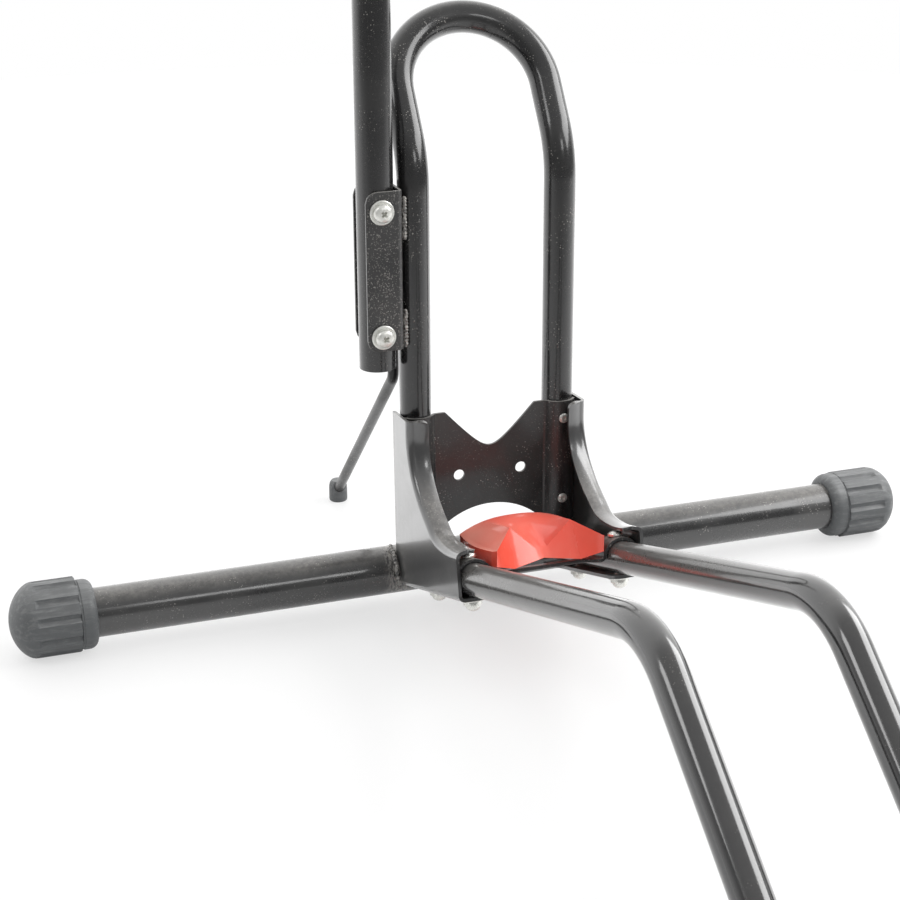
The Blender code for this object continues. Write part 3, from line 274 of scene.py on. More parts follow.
class SaddleSizes(bpy.types.PropertyGroup):
    """The red wheel saddle, in the rails' own slanted frame."""

    half: length("Half width", 0.0405, "Half of the saddle's width")
    chamfer_x: length("Chamfer", 0.0385, "Where the side's chamfer starts")
    peak_x: length("Peak spread", 0.0219, "Distance of the front peaks from the middle")
    trough_x: length("Trough half width", 0.0045, "Half of the trough's flat bottom")
    rear: length("Rear", 0.052, "Rear edge along the rails")
    front: length("Front", 0.1225, "Front corners along the rails")
    side: length("Side", 0.118, "Front of the side walls along the rails")
    peak: length("Peak", 0.105, "Peaks along the rails")
    trough: length("Trough", 0.101, "Front of the trough along the rails")
    arch_n: length("Arch height", 0.0336, "Top of the rear arch above the rails' axis")
    arch_side_n: length("Arch side height", 0.0247, "Rear arch at the sides")
    ridge_n: length("Peak height", 0.030, "Height of the front peaks")
    side_n: length("Side height", 0.0176, "Height of the front corners")
    trough_n: length("Trough height", 0.0135, "Height of the trough's bottom")
    edge_n: length("Lower edge", 0.0066, "Height of the walls' lower edge")
    edge_peak_x: length("Lower edge low points", 0.024, "Distance of its low points from the middle")
    edge_peak_n: length("Lower edge height there", 0.0030, "Height of those low points")
    lean_mid: length("Front lean, middle", 0.005, "How far the front wall's foot stands forward")
    lean_peak: length("Front lean, peaks", 0.007, "The same under the peaks")
    lean_side: length("Front lean, sides", -0.0035, "The same at the sides")
    wall: length("Wall", 0.0028, "Wall of the moulding")


class FastenerSizes(bpy.types.PropertyGroup):
    """Screws, bolts, washers and nuts."""

    rail_bolt: length("Rail bolt", 0.003, "Radius of the rail bolts")
    bolt_in_nut: length("Rail bolt end", 0.0058, "How far the rail bolts reach into their nuts")
    rail_head: length("Rail bolt head", 0.0052, "Radius of the rail bolts' heads")
    rail_head_height: length("Rail bolt head height", 0.0038, "Height of the rail bolts' heads")
    nut_flange: length("Nut flange", 0.0078, "Radius of the dome nuts' flanges")
    nut_flange_height: length("Nut flange height", 0.0013, "Height of the dome nuts' flanges")
    nut_half: length("Nut half width", 0.0055, "Half of a dome nut across its flats")
    nut_height: length("Nut height", 0.0028, "Height of a dome nut's six sides")
    nut_dome: length("Nut dome", 0.0040, "Height of a dome nut's dome")
    plate_screw: length("Plate screw", 0.0019, "Radius of the plate screws")
    plate_screw_length: length("Plate screw length", 0.008, "Length of their shanks")
    plate_head: length("Plate screw head", 0.0036, "Radius of the plate screws' heads")
    plate_head_height: length("Plate screw head height", 0.002, "Height of the plate screws' heads")
    clamp_screw: length("Clamp screw", 0.004, "Radius of the clamp screws")
    clamp_screw_over: length("Clamp screw end", 0.002, "How far the clamp screws pass their nuts")
    clamp_head: length("Clamp screw head", 0.0065, "Radius of the clamp screws' heads")
    clamp_head_height: length("Clamp screw head height", 0.0048, "Height of the clamp screws' heads")
    washer: length("Washer", 0.0085, "Radius of the washers")
    washer_height: length("Washer height", 0.0016, "Thickness of the washers")
    clamp_nut: length("Clamp nut", 0.0065, "Half of a clamp nut across its flats")
    clamp_nut_height: length("Clamp nut height", 0.0065, "Height of a clamp nut")
    recess: share("Recess", 0.3844, "Width of a cross recess, as a share of its head")


class LegSizes(bpy.types.PropertyGroup):
    """The swivelling rear leg."""

    rod: length("Rod radius", 0.004, "Radius of the bent rod")
    sleeve: length("Sleeve radius", 0.006, "Outside of the sleeve that carries the rod")
    pivot_x: length("Pivot place", -0.0627, "The rod's upright shank, from the middle")
    bend_height: length("Bend height", 0.172, "Height of the rod's corner")
    bend_radius: length("Bend radius", 0.012, "Bend of the rod")
    rod_end: length("Rod end", 0.009, "Height of the rod's lower end")
    retainer: length("Ring radius", 0.0062, "Outside of the push-on ring above the sleeve")
    retainer_height: length("Ring height", 0.004, "Height of that ring")


class Finishes(bpy.types.PropertyGroup):
    """Colours and textures of the materials."""

    paint: colour("Paint", (0.009, 0.009, 0.0095), "Black paint of tubes and sheets")
    # The dust colour also serves as painted top light on the black paint's upward faces.
    paint_dust_and_top_light: colour("Dust", (0.42, 0.40, 0.37), "Dust and paint specks")
    rubber: colour("Rubber", (0.082, 0.087, 0.090), "Caps and foot")
    # This worn colour also serves as the caps' painted top light.
    rubber_worn_and_top_light: colour("Worn rubber", (0.27, 0.275, 0.275), "Rubbed places on the rubber")
    zinc: colour("Zinc", (0.80, 0.80, 0.76), "Plated fasteners")
    zinc_dull: colour("Dull zinc", (0.56, 0.56, 0.51), "Weathered plating")
    red: colour("Red", (0.90, 0.074, 0.040), "Moulded saddle")
    # The scuffed colour also serves as painted top light on the saddle's upward faces.
    red_scuffed_and_top_light: colour("Scuffed red", (0.92, 0.46, 0.36), "Rubbed and dusty places on the saddle")
    plug: colour("Plug", (0.012, 0.012, 0.013), "Plastic plug in the post")


class Studio(bpy.types.PropertyGroup):
    """Camera, floor and lights."""

    camera_x: length("Camera X", -0.46779, "Camera place")
    camera_y: length("Camera Y", -1.071405, "Camera place")
    camera_z: length("Camera Z", 0.63351, "Camera place")
    camera_tilt: angle("Camera tilt", 69.053, "Camera tilt from straight down")
    camera_roll: angle("Camera roll", 0.2735, "Camera roll")
    camera_turn: angle("Camera turn", -19.232, "Camera heading")
    lens: number("Lens", 80.5046, "Focal length in millimetres", subtype="DISTANCE_CAMERA")
    floor_radius: length("Floor", 2.2, "Radius of the floor")
    floor: colour("Floor colour", (0.86, 0.86, 0.86), "Colour of the floor")
    lift: share("Floor lift", 0.62, "How much of the floor's seen tone is plain white")
    room: number("Room", 0.30, "Light from the room in front")
    zenith: number("Ceiling", 0.72, "Light from the pale ceiling")
    back: number("Back wall", 1.4, "Light from the pale back wall")
    right: power("Right softbox", 21.0, "Power of the softbox on the right")
    left: power("Left lamp", 4.7, "Power of the lamp on the left")
    front: power("Front lamp", 3.2, "Power of the lamp in front")


class Value:
    """One output in a material's nodes. Python's operators add the Math nodes between them."""

    def __init__(self, maker, socket):
        self.maker = maker
        self.socket = socket

    def __add__(self, other):
        return self.maker.math("ADD", self, other)

    def __sub__(self, other):
        return self.maker.math("SUBTRACT", self, other)

    def __rsub__(self, other):
        return self.maker.math("SUBTRACT", other, self)

    def __mul__(self, other):
        return self.maker.math("MULTIPLY", self, other)

    __radd__ = __add__
    __rmul__ = __mul__

    def span(self, low, high):
        """0 below low and 1 above high, with a soft passage between."""
        inputs = {"Value": self, "From Min": low, "From Max": high}
        return self.maker.node("ShaderNodeMapRange", {"interpolation_type": "SMOOTHSTEP"}, inputs)

    def either(self, other):
        """The larger of two values."""
        return self.maker.math("MAXIMUM", self, other)

    def size(self):
        """The value without its sign."""
        return self.maker.math("ABSOLUTE", self)


class NodeMaker:
    """Adds and links the nodes of one tree."""

    def __init__(self, tree):
        self.tree = tree

    def node(self, kind, settings, inputs, output=0):
        """A node: its type, its settings, then the values or links of its sockets."""
        made = self.tree.nodes.new(kind)
        for key, value in settings.items():
            setattr(made, key, value)
        for key, value in inputs.items():
            self.feed(made.inputs[key], value)
        return Value(self, made.outputs[output])

    def feed(self, socket, value):
        """Sets a socket to a value, or links it."""
        if isinstance(value, Value):
            self.tree.links.new(value.socket, socket)
        elif socket.type == "RGBA" and len(value) == 3:
            socket.default_value = (*value, 1.0)
        else:
            socket.default_value = value

    def math(self, operation, *values):
        """A Math node of this kind on values or links."""
        return self.node("ShaderNodeMath", {"operation": operation}, dict(enumerate(values)))

    def part(self, vector, axis):
        """One coordinate of a vector."""
        return self.node("ShaderNodeSeparateXYZ", {}, {"Vector": vector}, axis)

    def ray(self, kind):
        """1 where the light path's ray is of this kind."""
        return self.node("ShaderNodeLightPath", {}, {}, "Is " + kind + " Ray")

    def mix(self, factor, base, top):
        """From one colour to another."""
        return self.node("ShaderNodeMix", {"data_type": "RGBA"}, {0: factor, 6: base, 7: top}, 2)


class Finish(NodeMaker):
    """A material under construction."""

    def __init__(self, name):
        self.material = bpy.data.materials.new(name)
        self.material.use_nodes = True
        super().__init__(self.material.node_tree)
        self.shader = self.tree.nodes["Principled BSDF"]
        self.place = self.node("ShaderNodeTexCoord", {}, {}, "Object")

    def noise(self, scale, detail=4.0, roughness=0.55, stretch=(1.0, 1.0, 1.0)):
        """Soft noise over the object."""
        place = self.node("ShaderNodeMapping", {}, {"Vector": self.place, "Scale": stretch})
        inputs = {"Vector": place, "Scale": scale, "Detail": detail, "Roughness": roughness}
        return self.node("ShaderNodeTexNoise", {}, inputs, "Fac")

    def cells(self, scale):
        """Distance to the nearest of many scattered points."""
        return self.node("ShaderNodeTexVoronoi", {}, {"Vector": self.place, "Scale": scale}, "Distance")

    def facing_up(self):
        """How far the surface looks up, from -1 to 1."""
        return self.part(self.node("ShaderNodeNewGeometry", {}, {}, "Normal"), "Z")

    def bump(self, height, distance):
        """A normal bent by a height."""
        return self.node("ShaderNodeBump", {}, {"Height": height, "Distance": distance})

    def tone(self, factor, base, top):
        """From one of the scene's colours to another."""
        (look,) = groups("finishes")
        return self.mix(factor, getattr(look, base), getattr(look, top))

    def done(self, **values):
        """Sets the shader's own sockets, by name with underscores for blanks."""
        for key, value in values.items():
            self.feed(self.shader.inputs[key.replace("_", " ").title().replace("Ior", "IOR")], value)
        return self.material


def black_paint(name, dust=0.8, rough=0.3, grime=0.2, peel=0.3, index=1.6, coat=0.8, heat=0.0,
                top_dust_and_light=0.4, even=0.0, sheen=0.16, beside=0.0):
    """Stoved black paint: orange peel, dull patches, fine specks, and a pale film on what looks up
    that is dust and partly painted top light, standing in for light falling from above.

    heat adds the pale scale beside the brackets' welds, top_dust_and_light sets that pale film of dust
    and painted top light, even spreads the specks out of their clouds, and beside dulls the rails
    between the saddle and their bend.
    """
    finish = Finish(name)
    patches = finish.noise(22.0, 5.0).span(0.42, 0.68)
    cloud = finish.noise(60.0, 4.0).span(0.40, 0.62)
    specks = finish.noise(1000.0, 2.0, 0.6).span(0.68 - 0.05 * dust, 0.76 - 0.05 * dust)
    specks = specks * (cloud * (1.0 - even) + even)
    flecks = (1.0 - finish.cells(520.0).span(0.12, 0.28)) * finish.noise(45.0, 3.0).span(0.54, 0.64)
    uneven = finish.noise(260.0, 6.0, 0.75).span(0.30, 0.70) * 0.6 + 0.4
    # Paler where the surface looks up: settled dust, and partly painted top light.
    settled_dust_and_top_light = finish.facing_up().span(0.55, 1.0) * uneven
    dusty = (specks * (0.45 - 0.25 * even) * dust).either(flecks * min(dust, 1.0) * 0.7)
    if heat:
        reach = finish.part(finish.place, "X").size()
        near = reach.span(0.052, 0.060) * (1.0 - reach.span(0.070, 0.080))
        scale = finish.noise(330.0, 5.0, 0.7, (2.2, 0.7, 0.7)).span(0.40, 0.64)
        dusty = dusty.either(near * scale * heat)
    # The colour mix adds that painted top light to the real dust, specks, heat scale and grime.
    dirt_and_top_light = dusty + settled_dust_and_top_light * (patches * 0.3 + 0.7) * top_dust_and_light + patches * (grime * 0.04)
    dull = settled_dust_and_top_light * (top_dust_and_light * 0.4) + patches * (grime * 0.25) + dusty * 0.4 + rough
    shine = coat
    if beside:
        upper = finish.facing_up().span(-0.4, 0.6) * 0.8 + 0.2
        uneven = finish.noise(380.0, 5.0, 0.7).span(0.25, 0.70) * 0.4 + 0.6
        worn = finish.part(finish.place, "Y").span(-0.19, -0.02) * upper * uneven * beside
        dirt_and_top_light = dirt_and_top_light + worn * 0.20
        dull = dull + worn * 0.14
        shine = coat * (1.0 - worn * 0.75)
    dull = dull + finish.noise(300.0, 3.0) * 0.06
    height = finish.noise(700.0, 3.0) * peel + finish.noise(90.0, 2.0) * (peel * 1.6) + dusty * 0.8
    return finish.done(base_color=finish.tone(dirt_and_top_light, "paint", "paint_dust_and_top_light"), roughness=dull,
                       normal=finish.bump(height, 0.00012), ior=index, coat_weight=shine,
                       coat_roughness=0.03 + rough * 0.3, coat_ior=1.5, sheen_weight=sheen,
                       sheen_roughness=0.4)


def cap_rubber(name):
    """Grey rubber, rubbed pale along its ribs, with painted top light that makes what looks up paler.
    """
    finish = Finish(name)
    cloud = finish.noise(45.0, 6.0, 0.6).span(0.35, 0.75)
    rubbed = finish.noise(330.0, 6.0, 0.7, (0.14, 1.0, 1.0)).span(0.44, 0.70)
    specks = finish.noise(1300.0, 2.0).span(0.68, 0.76)
    # Painted top light: what looks up, the grooves' lower walls too, is made paler; worn below mixes it
    # with the real rubbing, cloud and specks.
    top_dust_and_light = finish.facing_up().span(-0.2, 1.0)
    worn = (cloud * 0.20 + rubbed * 0.35 + specks * 0.4 + top_dust_and_light * 0.52).span(0.0, 1.3)
    rough = 0.50 + cloud * 0.16 - rubbed * 0.08
    height = finish.noise(900.0, 4.0) * 0.6 + finish.noise(120.0, 3.0) * 1.2 + rubbed * 0.5
    return finish.done(base_color=finish.tone(worn, "rubber", "rubber_worn_and_top_light"), roughness=rough,
                       normal=finish.bump(height, 0.00012), ior=1.52)


def zinc_plate(name, dull):
    """Zinc plating with weathered spots and fine pits."""
    finish = Finish(name)
    spots = finish.noise(420.0, 5.0, 0.65).span(0.45, 0.70)
    pits = finish.noise(1700.0, 3.0).span(0.62, 0.74)
    tone = finish.tone((spots * dull + pits * 0.4).span(0.0, 1.0), "zinc", "zinc_dull")
    rough = 0.20 + dull * 0.24 + spots * (0.10 + dull * 0.20) + pits * 0.12
    metal = (1.0 - dull * 0.5) - spots * (dull * 0.35)
    height = finish.noise(1100.0, 3.0) * 0.5 - pits * 0.5
    return finish.done(base_color=tone, roughness=rough, metallic=metal,
                       normal=finish.bump(height, 0.00008))


def saddle_red(name):
    """Glossy red plastic, scuffed on the left of its top, paler where it looks up from dust and painted
    top light, with hairlines and specks.
    """
    finish = Finish(name)
    cloud = finish.noise(28.0, 3.0, 0.5).span(0.35, 0.75)
    hairline = finish.noise(420.0, 4.0, 0.6, (1.0, 0.12, 0.4)).span(0.62, 0.74)
    specks = finish.noise(1500.0, 2.0).span(0.70, 0.78)
    # Paler where it looks up: dust and scuffs, most on the left, and partly painted top light.
    top_dust_and_light = finish.facing_up().span(0.30, 1.0)
    left = finish.part(finish.place, "X").span(-0.012, -0.036)
    worn = top_dust_and_light * (left * 0.40 + 0.10 + cloud * 0.10) + hairline * 0.10
    worn = worn + specks * 0.16 + cloud * 0.07 + 0.03
    rough = 0.22 + cloud * 0.05 + top_dust_and_light * (left * 0.15 + 0.22) + hairline * 0.05
    height = finish.noise(160.0, 3.0) * 0.8 + finish.noise(900.0, 3.0) * 0.25
    return finish.done(base_color=finish.tone(worn, "red", "red_scuffed_and_top_light"), roughness=rough,
                       normal=finish.bump(height, 0.00015), ior=1.5, coat_weight=0.40,
                       coat_roughness=0.09)


def plug_plastic(name):
    """Black plastic with a fine grain."""
    finish = Finish(name)
    grain = finish.noise(1400.0, 3.0)
    worn = finish.noise(200.0, 5.0).span(0.55, 0.75)
    return finish.done(base_color=finish.tone(worn * 0.25, "plug", "rubber_worn_and_top_light"),
                       roughness=0.45 + worn * 0.12, normal=finish.bump(grain, 0.0001))


FINISHES = {
    "rail_paint": partial(black_paint, dust=0.2, rough=0.14, peel=0.08, index=1.65, coat=0.9,
                          top_dust_and_light=0.08, sheen=0.05, beside=1.0),
    "upright_paint": partial(black_paint, dust=0.9, rough=0.20, grime=0.4, peel=0.35, index=1.5,
                             coat=0.65, top_dust_and_light=0.12, sheen=0.08),
    "leg_paint": partial(black_paint, dust=1.3, rough=0.34, grime=0.6, index=1.45, coat=0.1,
                         top_dust_and_light=0.1, sheen=0.05),
    "tube_paint": partial(black_paint, dust=0.9, rough=0.24, grime=0.8, heat=0.8, top_dust_and_light=0.45),
    "sheet_paint": partial(black_paint, dust=0.5, rough=0.26, grime=0.4, peel=0.26, index=1.95,
                           coat=1.0, top_dust_and_light=0.5),
    "strap_paint": partial(black_paint, dust=1.5, rough=0.40, grime=0.9, peel=0.6, index=1.5,
                           coat=0.2, top_dust_and_light=0.9, even=0.5, sheen=0.05),
    "plate_paint": partial(black_paint, dust=1.1, rough=0.38, grime=1.0, peel=0.45, coat=0.35,
                           top_dust_and_light=0.6, even=0.3),
    "clamp_paint": partial(black_paint, dust=1.9, rough=0.36, grime=0.9, peel=0.6, coat=0.45,
                           top_dust_and_light=0.6, even=0.7),
    "weld_paint": partial(black_paint, dust=2.0, rough=0.30, grime=0.9, peel=1.0, coat=0.6,
                          heat=1.0, top_dust_and_light=0.5),
    "cap_rubber": cap_rubber,
    "zinc_bright": partial(zinc_plate, dull=0.25),
    "zinc_weathered": partial(zinc_plate, dull=0.6),
    "saddle_red": saddle_red,
    "plug_plastic": plug_plastic,
}


def material(name):
    """The named material, made when it is first asked for."""
    return bpy.data.materials.get(name) or FINISHES[name](name)


def set_shape(obj, modifiers):
    """Runs modifiers on an object's mesh and keeps the result."""
    for kind, settings in modifiers:
        modifier = obj.modifiers.new(kind, kind)
        for key, value in settings.items():
            setattr(modifier, key, value)
    shaped = obj.evaluated_get(bpy.context.evaluated_depsgraph_get())
    mesh = bpy.data.meshes.new_from_object(shaped)
    obj.modifiers.clear()
    obj.data = mesh


def new_object(name, bm):
    """An object from a mesh laid out round the cross tube's axis."""
    bmesh.ops.translate(bm, verts=bm.verts, vec=(0, AXIS_Y, 0))
    mesh = bpy.data.meshes.new(name)
    bm.to_mesh(mesh)
    bm.free()
    obj = bpy.data.objects.new(name, mesh)
    bpy.context.scene.collection.objects.link(obj)
    return obj


def add_piece(name, bm, finish, node, body="frame", edge=0.0, sheet=0.0, cutters=(), sharp=38.0):
    """A finished piece: thickened, drilled, its edges rounded, painted and set on its body."""
    obj = new_object(name, bm)
    modifiers = []
    if sheet:
        modifiers.append(("SOLIDIFY", {"thickness": sheet, "offset": -1, "use_even_offset": True}))
    for cutter in cutters:
        modifiers.append(("BOOLEAN", {"operation": "DIFFERENCE", "object": cutter, "solver": "EXACT"}))
    if edge:
        modifiers.append(("BEVEL", {"width": edge, "segments": 3, "limit_method": "ANGLE",
                                    "angle_limit": math.radians(BEVEL_ANGLE)}))
    if modifiers:
        set_shape(obj, modifiers)
    for cutter in cutters:
        bpy.data.objects.remove(cutter, do_unlink=True)
    obj.data.shade_smooth()
    if edge:
        weigh = obj.modifiers.new("even_normals", "WEIGHTED_NORMAL")
        weigh.weight = 80
        weigh.keep_sharp = False
    else:
        obj.data.set_sharp_from_angle(angle=math.radians(sharp))
    obj.data.materials.clear()
    obj.data.materials.append(material(finish))
    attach(obj, body)
    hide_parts(node)


def loft(rings, wrap=False):
    """A skin through rings of points. A ring of one point closes the skin there."""
    bm = bmesh.new()
    made = [[bm.verts.new(point) for point in ring] for ring in rings]
    pairs = list(zip(made, made[1:]))
    if wrap:
        pairs.append((made[-1], made[0]))
    for near, far in pairs:
        count = max(len(near), len(far))
        for k in range(count):
            j = (k + 1) % count
            corners = (near[k % len(near)], near[j % len(near)], far[j % len(far)], far[k % len(far)])
            bm.faces.new(list(dict.fromkeys(corners)))
    bmesh.ops.recalc_face_normals(bm, faces=bm.faces)
    return bm


def ring_frames(path):
    """Two directions square to the path at each of its points, carried along without twist."""
    tangents = []
    for i, point in enumerate(path):
        back = point - path[max(i - 1, 0)]
        on = path[min(i + 1, len(path) - 1)] - point
        tangents.append((back.normalized() + on.normalized()).normalized())
    side = tangents[0].orthogonal().normalized()
    frames = []
    for tangent in tangents:
        side = (side - tangent * side.dot(tangent)).normalized()
        frames.append((side, tangent.cross(side)))
    return frames


def circle(centre, across, up, radius, sides):
    """Points round a centre."""
    turns = [math.tau * k / sides for k in range(sides)]
    return [centre + radius * (math.cos(turn) * across + math.sin(turn) * up) for turn in turns]


def tube(path, outer, inner, sides=FINE):
    """A tube along a path."""
    frames = ring_frames(path)
    outside, inside = ([circle(p, a, u, radius, sides) for p, (a, u) in zip(path, frames)]
                       for radius in (outer, inner))
    return loft(outside + inside[::-1], wrap=True)


def rod(path, radius, sides=FINE, end=0.0006):
    """A solid rod along a path, with its ends' edges broken."""
    frames = ring_frames(path)
    rings = [circle(point, across, up, radius, sides) for point, (across, up) in zip(path, frames)]
    for tip, inside in ((0, 1), (-1, -2)):
        inwards = (path[inside] - path[tip]).normalized() * end
        pair = [circle(path[tip], *frames[tip], radius - end, sides),
                circle(path[tip] + inwards, *frames[tip], radius, sides)]
        rings = pair + rings[1:] if tip == 0 else rings[:-1] + pair[::-1]
    return loft([[path[0]]] + rings + [[path[-1]]])


def turned(base, axis, profile, sides=FINE):
    """A turned form: (radius, height) steps round an axis. A third value cuts it to six flats."""
    axis = Vector(axis).normalized()
    across = axis.orthogonal().normalized()
    up = axis.cross(across)
    rings = []
    for radius, height, *flats in profile:
        centre = Vector(base) + axis * height
        if radius == 0:
            rings.append([centre])
            continue
        ring = circle(centre, across, up, radius, sides)
        if flats:
            for k, point in enumerate(ring):
                turn = (math.tau * k / sides) % (math.pi / 3) - math.pi / 6
                reach = min(radius, flats[0] / math.cos(turn))
                ring[k] = centre + (point - centre).normalized() * reach
        rings.append(ring)
    return loft(rings, wrap=len(rings[0]) > 1)


def domed(radius, base, height, power=2.2, steps=8):
    """Steps (radius, height) of a domed head, from its rim to its top."""
    parts = [step / steps for step in range(steps)]
    dome = [(radius * (1 - part ** power) ** (1 / power), base + height * part) for part in parts]
    return dome + [(0, base + height)]


def arc(centre, radius, start, end, steps):
    """Points of an arc in a plane, angles in degrees, both ends included."""
    points = []
    for step in range(steps + 1):
        turn = math.radians(start + (end - start) * step / steps)
        points.append(Vector(centre) + radius * Vector((math.cos(turn), math.sin(turn))))
    return points


def bend(corner, before, after, radius):
    """Points that round a corner of a path."""
    back = (before - corner).normalized()
    on = (after - corner).normalized()
    half = back.angle(on) / 2
    centre = corner + (back + on).normalized() * (radius / math.sin(half))
    reach = radius / math.tan(half)
    first = corner + back * reach - centre
    axis = first.cross(corner + on * reach - centre).normalized()
    turns = [(math.pi - 2 * half) * i / BEND_STEPS for i in range(BEND_STEPS + 1)]
    return [centre + Matrix.Rotation(turn, 3, axis) @ first for turn in turns]


def between(start, end, count):
    """Points along a straight line, both ends included."""
    return [start.lerp(end, i / count) for i in range(count + 1)]


def smooth_path(points, steps):
    """A curve through points, each with the tangent of its neighbours' chord."""
    points = [Vector(point) for point in points]
    ends = [points[0] * 2 - points[1]] + points + [points[-1] * 2 - points[-2]]
    curve = []
    for a, b, c, d in zip(ends, ends[1:], ends[2:], ends[3:]):
        for step in range(steps):
            t = step / steps
            curve.append(0.5 * (2 * b + (c - a) * t + (2 * a - 5 * b + 4 * c - d) * t ** 2
                                + (3 * b - a - 3 * c + d) * t ** 3))
    curve.append(points[-1])
    return curve


def walk(path, distance):
    """The point at a distance along a path."""
    for near, far in zip(path, path[1:]):
        step = (far - near).length
        if distance <= step:
            break
        distance -= step
    return near + (far - near).normalized() * distance


def mix_stops(stops, value):
    """Reads a piecewise straight line given as (place, height) stops, level beyond its ends."""
    if value <= stops[0][0]:
        return stops[0][1]
    for (start, low), (end, high) in zip(stops, stops[1:]):
        if value <= end:
            return low + (high - low) * (value - start) / (end - start)
    return stops[-1][1]


def rail_axes():
    """Where the rails' measure starts, and the directions along and above them, as (y, z)."""
    (tubes,) = groups("tubes")
    start = Vector((tubes.rail_y, AXIS_Z + tubes.rail_above))
    along = Vector((-math.cos(tubes.rail_rise), math.sin(tubes.rail_rise)))
    return start, along, Vector((along.y, -along.x))


def rail_point(x, u, n):
    """A point u along the rails and n above their axis."""
    start, along, up = rail_axes()
    place = start + along * u + up * n
    return Vector((x, place.x, place.y))


def rail_up():
    """The direction square to the rails' tops."""
    up = rail_axes()[2]
    return Vector((0, up.x, up.y))


def above_rail(place):
    """How far a point lies above the rails' axis."""
    return (place - rail_point(place.x, 0, 0)).dot(rail_up())


def mirror_path(path):
    """A path from the left to the middle, carried on to its mirror image on the right."""
    return path + [Vector((-p.x, p.y, p.z)) for p in reversed(path[:-1])]


def mirror_section(half):
    """The left half of a section, carried on to its mirror image."""
    return half + [Vector((-p.x, p.y)) for p in reversed(half)]


def hoop(path, centre, forward):
    """A hoop's tube: its left arm's path, closed by a half circle towards forward."""
    (tubes,) = groups("tubes")
    steps = BEND_STEPS * 2
    for step in range(steps + 1):
        turn = math.pi / 2 * step / steps
        aside = Vector((-tubes.hoop_x * math.cos(turn), 0, 0))
        path = path + [centre + aside + forward * tubes.hoop_x * math.sin(turn)]
    return tube(mirror_path(path), tubes.hoop_radius, tubes.hoop_radius - tubes.hoop_wall)


def strip_sheet(strips, facing, faces=()):
    """The outer face of a pressed sheet: strips, each through rows of points, and extra faces."""
    bm = bmesh.new()
    made = {}

    def vert(point):
        key = tuple(round(value, 7) for value in point)
        if key not in made:
            made[key] = bm.verts.new(point)
        return made[key]

    outlines = [[vert(point) for point in face] for face in faces]
    for strip in strips:
        for near, far in zip(strip, strip[1:]):
            for i in range(len(near) - 1):
                corners = (near[i], near[i + 1], far[i + 1], far[i])
                outlines.append(list(dict.fromkeys(vert(p) for p in corners)))
    for corners in outlines:
        if len(corners) < 3:
            continue
        face = bm.faces.new(corners)
        face.normal_update()
        if face.normal.dot(facing(face.calc_center_median())) < 0:
            face.normal_flip()
    return bm


def inset(distance, radius):
    """How far a rounded corner draws an edge in, at a distance from the sheet's end."""
    if distance >= radius:
        return 0.0
    return radius - math.sqrt(max(0.0, radius ** 2 - (radius - distance) ** 2))


def drill(start, end, radius, sides=32):
    """A hidden rod that cuts a hole."""
    return new_object("drill", rod([Vector(start), Vector(end)], radius, sides, radius * 0.01))


def cross_recess(base, axis, width, depth):
    """A hidden tapered cross that cuts a screwdriver's recess. Base is the middle of its mouth."""
    axis = Vector(axis).normalized()
    across = axis.orthogonal().normalized()
    up = axis.cross(across)
    arm = width * 0.17
    outline = []
    for quarter in range(4):
        turn = quarter * math.pi / 2
        forward = across * math.cos(turn) + up * math.sin(turn)
        left = axis.cross(forward)
        outline += [(forward, left, outer, offset)
                    for outer, offset in ((True, -arm), (True, arm), (False, arm))]
    rings = []
    for sink, spread in ((-0.5, 1.06), (0.0, 1.0), (0.75, 0.55), (1.0, 0.2)):
        middle = Vector(base) - axis * depth * sink
        ring = []
        for forward, left, outer, offset in outline:
            reach = width / 2 * spread if outer else arm
            ring.append(middle + forward * reach + left * offset * (0.6 + 0.4 * spread))
        rings.append(ring)
    above, below = [Vector(base) + axis * depth * 0.5], [Vector(base) - axis * depth * 1.05]
    return new_object("recess", loft([above] + rings + [below]))


def weld_bead(points, radius, ripple=0.14):
    """A weld bead: a rod that ripples like laid drops, with rough sides."""
    rings = [[points[0]]]
    run = 0.0
    last = len(points) - 1
    for i, (point, (across, up)) in enumerate(zip(points, ring_frames(points))):
        run += (point - points[max(i - 1, 0)]).length
        taper = math.sqrt(1 - max(0.0, 1 - (min(i, last - i) + 0.5) / 5) ** 2)
        wave = 1 - ripple * (0.5 - 0.5 * math.cos(math.tau * run / WELD_DROP))
        ring = []
        for spot in circle(point, across, up, radius * taper * wave, BEAD_SIDES):
            rough = noise.noise(spot * 500) * 0.12 - 0.04
            ring.append(point + (spot - point) * (1 + min(rough, 0)))
        rings.append(ring)
    rings.append([points[-1]])
    return loft(rings)


def add_spatter(bm, spot, outward):
    """A small ball of weld spatter, sunk a little into the surface that it sits on."""
    radius = 0.0003 + 0.0004 * noise.random() ** 2
    ball = bmesh.ops.create_icosphere(bm, subdivisions=2, radius=radius)["verts"]
    turn = outward.to_track_quat("Z", "Y").to_matrix()
    for vert in ball:
        lump = 1 + noise.noise(vert.co * 2000 + spot * 500) * 0.3
        vert.co = spot + turn @ Vector((vert.co.x * lump, vert.co.y * lump, vert.co.z * 0.7))


def land_distance(caps, turn):
    """How far the land at a turn of 0 to 360 degrees stands from the cap's axis."""
    stops = ((90, caps.land_mid), (180, caps.land_high), (270, caps.land_low), (360, caps.land_mid))
    return mix_stops(stops, turn)


